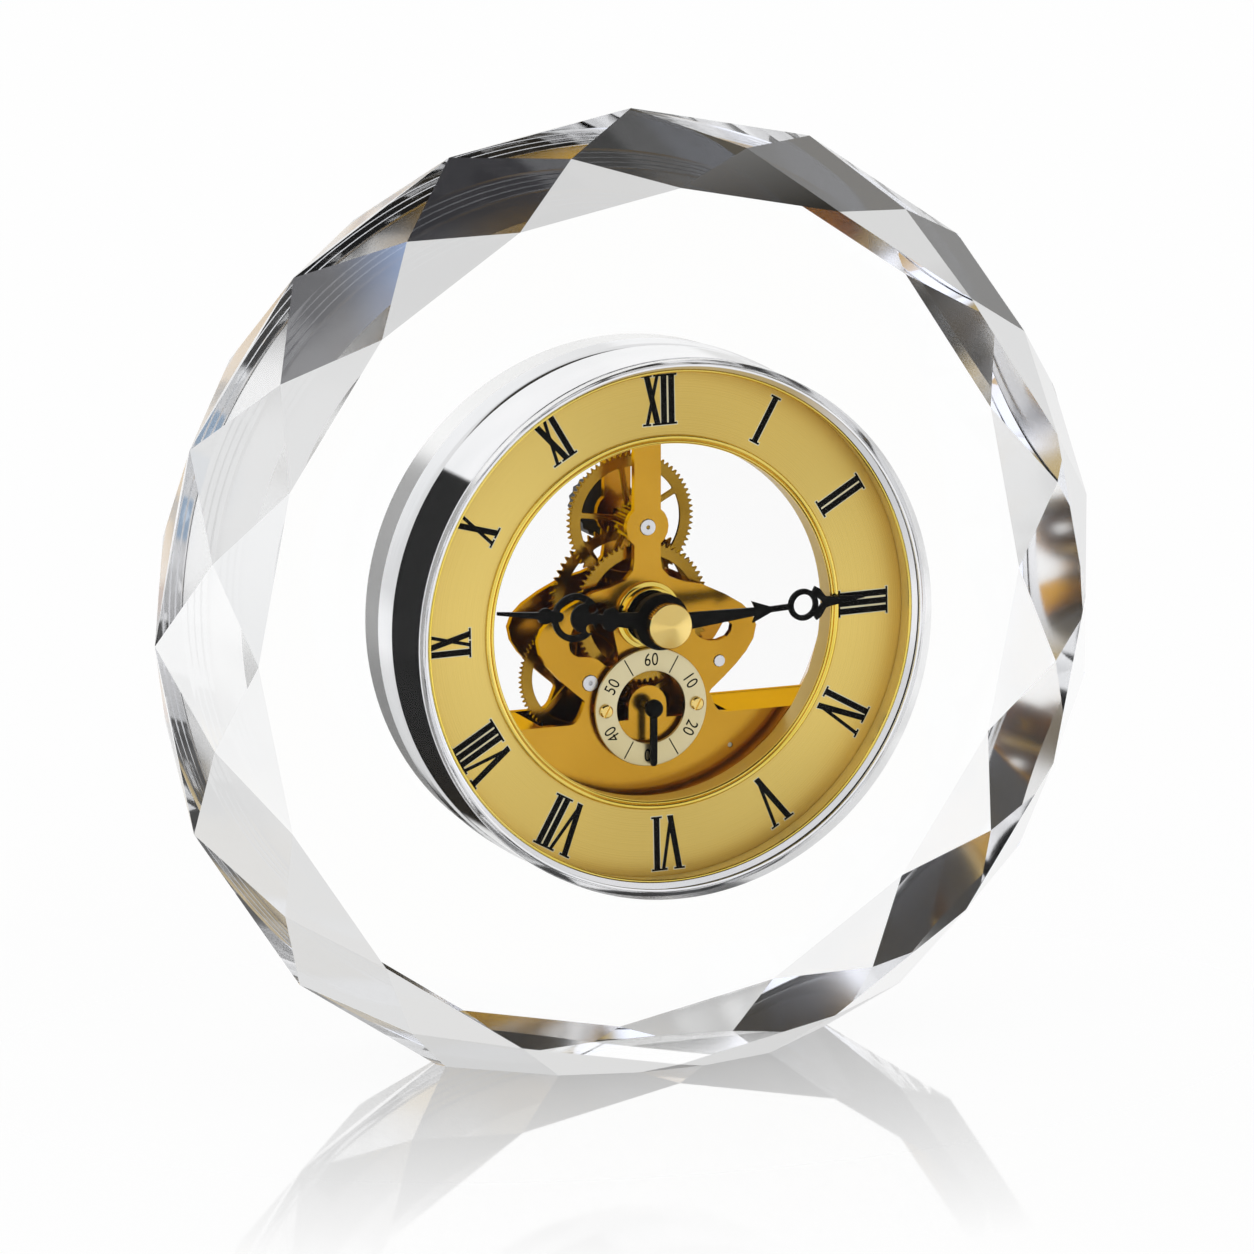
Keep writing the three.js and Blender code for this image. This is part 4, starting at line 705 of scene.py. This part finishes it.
HOUR_BORE = 1.95
hour_tube = tube_mesh(2.6, HOUR_BORE, HOUR_Z - 0.3, HOUR_LEVEL[1])
hour_disc = wheel_mesh(hour_gear, HOUR_BORE, HOUR_Z, 0.3)
piece("hour_wheel_cut", joined([hour_disc, hour_tube]), BRASS, "brass", "hour_wheel", body="hour")
CANNON_LOW = -1.1
cannon_tube = tube_mesh(1.85, 0.9, CANNON_LOW, MINUTE_LEVEL[1])
cannon_leaves = leaves_mesh(cannon, 1.0, CANNON_LOW, 0.3)
piece(
    "cannon_cut", joined([cannon_leaves, cannon_tube]), BRASS, "brass", "cannon_pinion",
    body="minute",
)
# Arbors: pivots in the plates, thicker between them
PIVOT_R, THIN_R, ARBOR_R = 0.35, 0.42, 0.6
PIVOT_LOW, SHOULDER_LOW, SHOULDER_TOP, PIVOT_TOP = -6.5, -5.2, 5.3, 6.6
minute_shaft = shaft_mesh(MINUTE_POS, [(ARBOR_R, SHOULDER_TOP), (PIVOT_R, PIVOT_TOP)], -12.7)
piece(
    "minute_leaves_cut",
    joined([leaves_mesh(minute_leaves, 0, -0.1, SHOULDER_TOP), minute_shaft]),
    BRASS, "brass", "minute_pinion", body="motion",
)
for name, g, low, radius, tip, body in (
    ("third_arbor", third_leaves, CENTRE_Z - 0.5, ARBOR_R, (PIVOT_R, PIVOT_TOP), "third"),
    ("seconds_arbor", seconds_leaves, MIDDLE_Z - 0.5, ARBOR_R, (THIN_R, 9.5), "seconds"),
    ("step_arbor", step_leaves, SECONDS_Z - 0.5, THIN_R, (PIVOT_R, PIVOT_TOP), "step"),
    ("rotor_pinion", rotor_leaves, MIDDLE_Z - 0.5, THIN_R, (PIVOT_R, PIVOT_TOP), "rotor"),
):
    ends = [(PIVOT_R, SHOULDER_LOW), (radius, SHOULDER_TOP), tip]
    mesh = joined([leaves_mesh(g, 0, low, low + 1.5), shaft_mesh(g["at"], ends, PIVOT_LOW)])
    piece(name + "_cut", mesh, STEEL, "steel", name, body=body)

for name, material, bevel in (
    ("centre_arbor", STEEL, None),
    ("rotor_magnet", STEEL, None),
    ("stator", STEEL, 0.06),
    ("motor_coil", COPPER, None),
    ("circuit_board", BOARD, None),
    ("control_chip", PLASTIC, 0.08),
    ("quartz_can", CHROME, None),
    ("battery_cell", STEEL, 0.15),
    ("battery_cup", PLASTIC, None),
    ("battery_spring", STEEL, None),
    ("battery_door", PLASTIC, 0.1),
    ("setting_knob", PLASTIC, 0.1),
):
    dress(name, material, bevel)


# ---------------------------------------------------------------- seconds dial
SECONDS_R, SECONDS_HOLE_R = 9.3, 5.7
SECONDS_LOW, SECONDS_TOP = 7.7, 8.3
DIAL_SCREW_X = 7.6
SLOT_HALF_LONG, SLOT_HALF_WIDE, SLOT_TURN = 1.5, 0.16, 62
turned_ring(
    "seconds_dial", oblong(SECONDS_HOLE_R, SECONDS_R, SECONDS_LOW, SECONDS_TOP), SECONDS_CREAM,
    "champagne", "seconds_ring", SECONDS_POS, corner=0.16, sides=128,
)
for side, name in ((-1, "left"), (1, "right")):
    at = (side * DIAL_SCREW_X, SECONDS_POS[1])
    shank = [(0, PLATE_BACK), (0.7, PLATE_BACK), (0.7, 8.4)]
    head = [(1.05, 8.4), (1.05, 8.75), (0.85, 8.95), (0, 9.0)]
    slot_cut = prism(
        oblong(-SLOT_HALF_LONG, SLOT_HALF_LONG, -SLOT_HALF_WIDE, SLOT_HALF_WIDE), 8.7, 9.5
    )
    moved(spun(slot_cut, -SLOT_TURN), at)
    screw = combined(lathe(shank + head, at, 48), cut=[slot_cut])
    piece("dial_screw_" + name, screw, NUT_BRASS, "brass", "seconds_screw_" + name)
    dress("seconds_spacer_" + name, BRASS)


# ---------------------------------------------------------------- hands
HOUR_ANGLE, MINUTE_ANGLE, SECONDS_ANGLE = 277.25, 87.0, 180
HOUR_COLLAR_LOW = 11.4
HAND_EDGE = 0.06


def tapered(*points):
    """Outline from (half width, y) points, up its right side and down its left."""
    return [(half, y) for half, y in points] + [(-half, y) for half, y in reversed(points)]


def disc(level, radius, at=CENTRE, extra=0.0, sides=64):
    """Round plate or hole at a hand's level, or a little past it on both sides."""
    return prism(circle(radius, sides, at), level[0] - extra, level[1] + extra)


def hour_hand():
    level = HOUR_LEVEL
    parts = [
        prism(tapered((1.1, 7.6), (1.5, 0)), *level),
        prism(softened(tapered((1, 7.2), (2, 8.2), (1.5, 9.6), (0.8, 9.9)), 0.4), *level),
        prism(tapered((0.7, 9.5), (0.7, 12)), *level),
        prism(tapered((1.1, 17.6), (0.55, 20), (0.25, 27.4)), *level),
        disc(level, 3.8, (0, 14.5)),
        disc(level, 1.25, (0, 19.5)),
    ]
    dents = [disc(level, 2.3, (0, 12.9), 2), disc(level, 0.75, (0, 17.2), 2)]
    moon = combined(disc(level, 2.75, (0, 14.6), 1), cut=dents)
    eyes = [disc(level, 0.75, (x, 11.8), 1) for x in (-1.55, 1.55)]
    collar = prism(circle(4.4, 96), HOUR_COLLAR_LOW, level[1])
    return combined(collar, add=parts, cut=[moon, *eyes, disc(level, 2.7, CENTRE, 1)])


def minute_hand():
    level = MINUTE_LEVEL
    ring = (0, 23)
    fork = [(0.1, 26.2), (1.7, 24.5), (2.7, 25.1), (2.2, 25.9), (0.9, 26.8), (0.75, 27.6)]
    parts = [
        prism(tapered((1.55, 0), (0.6, 15.6)), *level),
        prism(tapered((0.5, 14.9), (1.7, 14.4), (0.5, 17.4)), *level),
        prism(tapered((0.45, 15), (0.45, 21.4)), *level),
        prism(tapered(*fork, (0.15, 33.3)), *level),
        disc(level, 2.5, ring),
    ]
    holes = [disc(level, 1.65, ring, 1), disc(level, 1.95, CENTRE, 1, 48)]
    return combined(disc(level, 3.2, sides=96), add=parts, cut=holes)


for name, mesh, angle in (
    ("hour", hour_hand(), HOUR_ANGLE),
    ("minute", minute_hand(), MINUTE_ANGLE),
):
    piece(
        name + "_hand_cut", spun(mesh, angle), BLACK, "black_hands", name + "_hand",
        body=name, bevel=HAND_EDGE,
    )

NUT_FOOT_R, KNURL_DEPTH, KNURL_TOP = 3.3, 0.12, 16.2


def knurl(i, radius, z):
    """Two of every four sides of the nut's rim are cut in."""
    return -KNURL_DEPTH if radius > NUT_FOOT_R and i % 4 > 1 and z < KNURL_TOP else 0.0


nut_rim = [(0, 14.5), (NUT_FOOT_R, 14.5), (3.5, 14.6), (3.5, KNURL_TOP), (3.4, 16.32)]
nut_top = [(2.0, 16.65), (0.5, 16.93), (0, 16.98)]
nut = lathe(nut_rim + nut_top, sides=192, wave=knurl)
piece("hand_nut_turned", nut, NUT_BRASS, "polished_gold", "hand_nut", body="minute")

bar = prism(tapered((0.55, 0), (0.55, 8.6), (0.3, 9.1)), *SECONDS_LEVEL)
hub = [(0, 9.0), (1.35, 9.0), (1.43, 9.1), (1.43, 9.5)]
dome = [(1.33, 9.95), (1.05, 10.3), (0.6, 10.52), (0, 10.6)]
seconds_hand = joined([bar, lathe(hub + dome, sides=64)])
moved(spun(seconds_hand, SECONDS_ANGLE), SECONDS_POS)
piece("seconds_hand_cut", seconds_hand, BLACK, "black_hands", "seconds_hand", body="seconds")


# ---------------------------------------------------------------- numerals
STROKE, THIN, SERIF, SERIF_OVER = 0.95, 0.55, 0.3, 0.4
V_SPREAD, X_SPREAD, SLANT_MARGIN = 1.35, 0.9, 0.5
LETTER_GAP = 0.3
NUMERAL_TURN = -1.1
# Thickness of the ink and of its pale edge, and the lift that keeps crossing strokes apart
INK_THICK, PALE_THICK = 0.04, 0.012
PALE_EDGE = 0.13
STROKE_LIFT, PALE_LIFT_SHARE = 0.002, 0.2
# Each numeral with its height and the radius of its middle
NUMERALS = (
    ("XII", 7.9, 34.9), ("I", 7.9, 34.9), ("II", 8.0, 34.5), ("III", 8.3, 33.5),
    ("IV", 8.3, 34.2), ("V", 8.5, 34.6), ("VI", 8.6, 34.8), ("VII", 8.4, 34.8),
    ("VIII", 7.9, 34.9), ("IX", 6.9, 35.2), ("X", 7.2, 35.2), ("XI", 7.7, 35.0),
)


def slanted(foot, top, height, width):
    """A slanting stroke with level ends."""
    half = width / 2
    return [(foot - half, 0), (foot + half, 0), (top + half, height), (top - half, height)]


def serif(x, y, width):
    """The level bar across the end of a stroke."""
    half = width / 2 + SERIF_OVER
    return oblong(x - half, x + half, y, y + SERIF)


def glyph(letter, height):
    """(strokes, width) of a condensed capital with its foot at y 0."""
    top = height - SERIF
    if letter == "I":
        stem = slanted(0, 0, height, STROKE)
        return [stem, serif(0, 0, STROKE), serif(0, top, STROKE)], STROKE
    if letter == "V":
        spread = V_SPREAD
        strokes = [slanted(0.1, -spread, height, STROKE), slanted(-0.05, spread, height, THIN)]
    else:
        spread = X_SPREAD
        strokes = [slanted(spread, -spread, height, STROKE), slanted(-spread, spread, height, THIN)]
    strokes += [serif(-spread, top, STROKE), serif(spread, top, THIN)]
    if letter == "X":
        strokes += [serif(spread, 0, STROKE), serif(-spread, 0, THIN)]
    return strokes, 2 * spread + SLANT_MARGIN


def grown(points, edge):
    """A convex outline moved outwards."""
    cx = sum(x for x, _ in points) / len(points)
    cy = sum(y for _, y in points) / len(points)
    return [(x + math.copysign(edge, x - cx), y + math.copysign(edge, y - cy)) for x, y in points]


def numeral_meshes(text, height):
    """The ink, and the pale edge that shows round it."""
    glyphs = [glyph(letter, height) for letter in text]
    x = -(sum(width for _, width in glyphs) + LETTER_GAP * (len(glyphs) - 1)) / 2
    black, pale = [], []
    for strokes, width in glyphs:
        middle = (x + width / 2, -height / 2)
        for stroke in strokes:
            placed = shifted(stroke, middle)
            lift = STROKE_LIFT * len(black)
            pale_top = DIAL_FRONT + PALE_THICK + lift * PALE_LIFT_SHARE
            pale.append(prism(grown(placed, PALE_EDGE), DIAL_FRONT, pale_top))
            black.append(prism(placed, DIAL_FRONT, DIAL_FRONT + INK_THICK + lift))
        x += width + LETTER_GAP
    return joined(black), joined(pale)


for hour, (text, height, radius) in enumerate(NUMERALS):
    black, pale = numeral_meshes(text, height)
    for name, mesh, material, slot in (
        ("numeral_", black, INK, "black_hands"),
        ("numeral_edge_", pale, PALE_INK, "champagne"),
    ):
        spun(moved(mesh, (0, radius)), 30 * hour + NUMERAL_TURN)
        piece(name + text, mesh, material, slot, smooth=1)


# ---------------------------------------------------------------- seconds figures
FIGURE_R, FIGURE_SIZE = 7.45, 2.6
FIGURE_STRETCH, FIGURE_SPACING = (0.9, 1.1, 1, 1), 1.05
FIGURE_HALF_THICK = 0.015
TICK_HALF, TICK_INSIDE_R, TICK_R = 0.09, 6.0, 9.0


def figure(text, turn):
    curve = bpy.data.curves.new("figures_" + text, "FONT")
    curve.body = text
    curve.size = FIGURE_SIZE
    curve.align_x = "CENTER"
    curve.align_y = "CENTER"
    curve.extrude = FIGURE_HALF_THICK
    curve.space_character = FIGURE_SPACING
    holder = bpy.data.objects.new("figures", curve)
    bpy.context.scene.collection.objects.link(holder)
    mesh = evaluated(holder)
    bpy.data.objects.remove(holder)
    up = Matrix.Translation((0, FIGURE_R, SECONDS_TOP + FIGURE_HALF_THICK))
    mesh.transform(up @ Matrix.Diagonal(FIGURE_STRETCH))
    return moved(spun(mesh, turn), SECONDS_POS)


for i, text in enumerate(("60", "10", "20", "30", "40", "50")):
    piece("seconds_figure_" + text, figure(text, 60 * i), INK, "black_hands", smooth=1)
ticks = []
for minute in (5, 25, 35, 55):
    outline = oblong(-TICK_HALF, TICK_HALF, TICK_INSIDE_R, TICK_R)
    tick = prism(outline, SECONDS_TOP, SECONDS_TOP + 2 * FIGURE_HALF_THICK)
    ticks.append(moved(spun(tick, 6 * minute), SECONDS_POS))
piece("seconds_ticks", joined(ticks), INK, "black_hands", smooth=1)


# ---------------------------------------------------------------- stage
FLOOR_HALF = 4
WHITE = (1, 1, 1, 1)
# Share of the floor's mirror image at the base, and the distances (m) between which it fades
MIRROR_SHARE, MIRROR_NEAR, MIRROR_FAR = 0.5, 0.015, 0.12
MIRROR_SQUEEZE = (0.7, 1, 1)
SHADOW_SHARE = 0.10


def mixed(tree, factor, first, second):
    return add_node(tree, "MixShader", factor, first, second).outputs[0]


def off_polish(tree, path):
    """1 for a ray that comes off polished metal or out of glass, else 0."""
    glossy, through = path.outputs["Is Glossy Ray"], path.outputs["Is Transmission Ray"]
    return add_node(tree, "Math", glossy, through, operation="MAXIMUM").outputs[0]


def floor_material():
    """White, mirroring close to the base; rays off polish and out of glass go on to the room."""
    n = Nodes("floor")
    path = n.add("LightPath")
    diffuse = n.add("BsdfDiffuse", Color=(0.92, 0.92, 0.92, 1)).outputs[0]
    white = n.add("Emission", Color=WHITE, Strength=1.0).outputs[0]
    mirror = n.add("BsdfGlossy", Color=WHITE, Roughness=0.04).outputs[0]
    clear = n.add("BsdfTransparent").outputs[0]
    squeezed = n.add("Mapping", Vector=n.place, Scale=MIRROR_SQUEEZE).outputs["Vector"]
    distance = n.add("VectorMath", squeezed, operation="LENGTH").outputs["Value"]
    share = n.add(
        "MapRange", Value=distance,
        From_Min=MIRROR_NEAR, From_Max=MIRROR_FAR, To_Min=MIRROR_SHARE, To_Max=0.0,
    ).outputs["Result"]
    shown = mixed(n.tree, share, mixed(n.tree, SHADOW_SHARE, white, diffuse), mirror)
    other = mixed(n.tree, off_polish(n.tree, path), diffuse, clear)
    final = mixed(n.tree, path.outputs["Is Camera Ray"], other, shown)
    feed(n.tree, n.tree.nodes["Material Output"].inputs["Surface"], final)
    return n.material


def floor():
    bm = bmesh.new()
    corners = oblong(-FLOOR_HALF, FLOOR_HALF, -FLOOR_HALF, FLOOR_HALF)
    bm.faces.new([bm.verts.new((x, y, 0)) for x, y in corners])
    mesh = bpy.data.meshes.new("floor")
    bm.to_mesh(mesh)
    bm.free()
    mesh.materials.append(floor_material())
    obj = bpy.data.objects.new("floor", mesh)
    bpy.context.scene.collection.objects.link(obj)


floor()


# Brightness of the room round the clock by the height looked at, from the floor to the ceiling
ROOM = (
    (0.0, 0.03), (0.08, 0.10), (0.112, 0.012), (0.145, 0.075),
    (0.162, 0.015), (0.171, 0.70), (0.24, 0.74), (0.335, 0.80),
    (0.375, 1.0), (0.425, 1.0), (0.47, 0.80), (0.55, 0.80),
    (0.65, 0.83), (0.79, 0.84), (0.815, 0.02), (1.0, 0.02),
)
# Cards and windows in it, each a colour and its limits. A limit is an azimuth from +Y towards +X,
# an elevation, and the angles from that direction at which the card begins and is whole. Near 90
# it makes a straight edge.
CARDS = (
    ((1.0, 1.0, 1.0), (-5, 8, 28, 20)),
    ((1.0, 1.0, 1.0), (22, 12, 12, 8)),
    ((0.04, 0.04, 0.045), (60, -41, 9, 8)),
    ((0.22, 0.22, 0.23), (71, -33, 8, 4)),
    ((0.24, 0.10, 0.012), (63.5, -7.5, 6, 3)),
    ((1.0, 1.0, 1.0), (-130, 12, 34, 22)),
    ((0.45, 0.60, 0.78), (-106, 6, 11, 8)),
    ((0.035, 0.03, 0.022), (142, 50, 27, 18)),
    ((0.55, 0.42, 0.20), (157, -62, 32, 18)),
    ((0.10, 0.10, 0.10), (-157, -19, 7, 3)),
    ((1.22, 1.26, 1.4), (108, -18, 36, 22)),
    ((0.07, 0.038, 0.003), (-64, -58, 9, 6)),
    ((0.08, 0.05, 0.010), (-56, 19, 6, 4)),
    (
        (0.45, 0.62, 1.0),
        (64, -32, 9, 7), (121.3, 40.84, 91.7, 90.3), (-58.7, -40.84, 91.7, 90.3),
    ),
)
# Cards that show only in what is mirrored inside the glass, not straight through it
INNER_CARDS = (
    (
        (0.006, 0.006, 0.006),
        (0, 0, 28.5, 28), (0, 0, 15, 16.5), (-90, -43.9, 90.4, 89.6), (-90, -30, 91.5, 88.5),
    ),
    ((0.60, 0.34, 0.03), (160, 2, 40, 24)),
)


def direction(azimuth, elevation):
    az, el = math.radians(azimuth), math.radians(elevation)
    return math.sin(az) * math.cos(el), math.cos(az) * math.cos(el), math.sin(el)


def world():
    """The room for rays off polish and out of glass, white for the camera and for shading."""
    scene = bpy.context.scene
    scene.world = bpy.data.worlds.new("studio")
    scene.world.use_nodes = True
    tree = scene.world.node_tree
    tree.nodes.clear()

    def add(kind, *values, **named):
        return add_node(tree, kind, *values, **named)

    def calculated(operation, first, second):
        return add("Math", first, second, operation=operation).outputs[0]

    def closeness(towards, azimuth, elevation, begins, whole):
        """How far a ray is inside one limit of a card, from 0 to 1."""
        middle = direction(azimuth, elevation)
        dot = add("VectorMath", towards, middle, operation="DOT_PRODUCT").outputs["Value"]
        low, high = math.cos(math.radians(begins)), math.cos(math.radians(whole))
        inside = 1.0 if low < high else 0.0
        return add(
            "MapRange", Value=dot, From_Min=min(low, high), From_Max=max(low, high),
            To_Min=1.0 - inside, To_Max=inside, interpolation_type="SMOOTHSTEP",
        ).outputs["Result"]

    towards = add("TexCoord").outputs["Generated"]
    up = add("SeparateXYZ", towards).outputs["Z"]
    ramp = add("ValToRGB", Fac=add("MapRange", Value=up, From_Min=-1.0).outputs["Result"])
    elements = ramp.color_ramp.elements
    while len(elements) < len(ROOM):
        elements.new(0.5)
    for element, (position, value) in zip(elements, ROOM):
        element.position = position
        element.color = (value, value, value, 1)
    color = ramp.outputs["Color"]
    path = add("LightPath")
    mirrored = calculated(
        "MULTIPLY",
        calculated("MINIMUM", path.outputs["Glossy Depth"], 1.0),
        calculated("MINIMUM", path.outputs["Transmission Depth"], 1.0),
    )
    for number, (tint, *limits) in enumerate(CARDS + INNER_CARDS):
        shares = [mirrored] if number >= len(CARDS) else []
        shares += [closeness(towards, *limit) for limit in limits]
        share = shares[0]
        for other in shares[1:]:
            share = calculated("MULTIPLY", share, other)
        mix = add("Mix", Factor=share, A=color, B=(*tint, 1), data_type="RGBA")
        color = mix.outputs["Result"]
    room = add("Background", Color=color).outputs[0]
    plain = add("Background", Color=WHITE).outputs[0]
    add("OutputWorld", mixed(tree, off_polish(tree, path), plain, room))


world()


# ---------------------------------------------------------------- camera
VIEW_RIGHT = Vector((0.9252, -0.3795, 0.0))
VIEW_UP = Vector((0.0789, 0.1924, 0.9781))
VIEW_BACK = Vector((-0.3712, -0.9050, 0.2079))
TARGET = Vector((0, -0.02, 0.07))
DISTANCE = 1.233
SHIFT_LEFT, SHIFT_UP = 0.0082, 0.0007
SENSOR_WIDTH, FOCAL_LENGTH, CLIP_START = 36, 231.5, 0.01
camera_data = bpy.data.cameras.new("camera")
camera_data.sensor_width = SENSOR_WIDTH
camera_data.lens = FOCAL_LENGTH
camera_data.clip_start = CLIP_START
camera = bpy.data.objects.new("camera", camera_data)
bpy.context.scene.collection.objects.link(camera)
turn = Matrix((VIEW_RIGHT, VIEW_UP, VIEW_BACK)).transposed().to_4x4()
location = TARGET + VIEW_BACK * DISTANCE - VIEW_RIGHT * SHIFT_LEFT + VIEW_UP * SHIFT_UP
camera.matrix_world = Matrix.Translation(location) @ turn
bpy.context.scene.camera = camera
bpy.context.scene.view_settings.view_transform = "Standard"
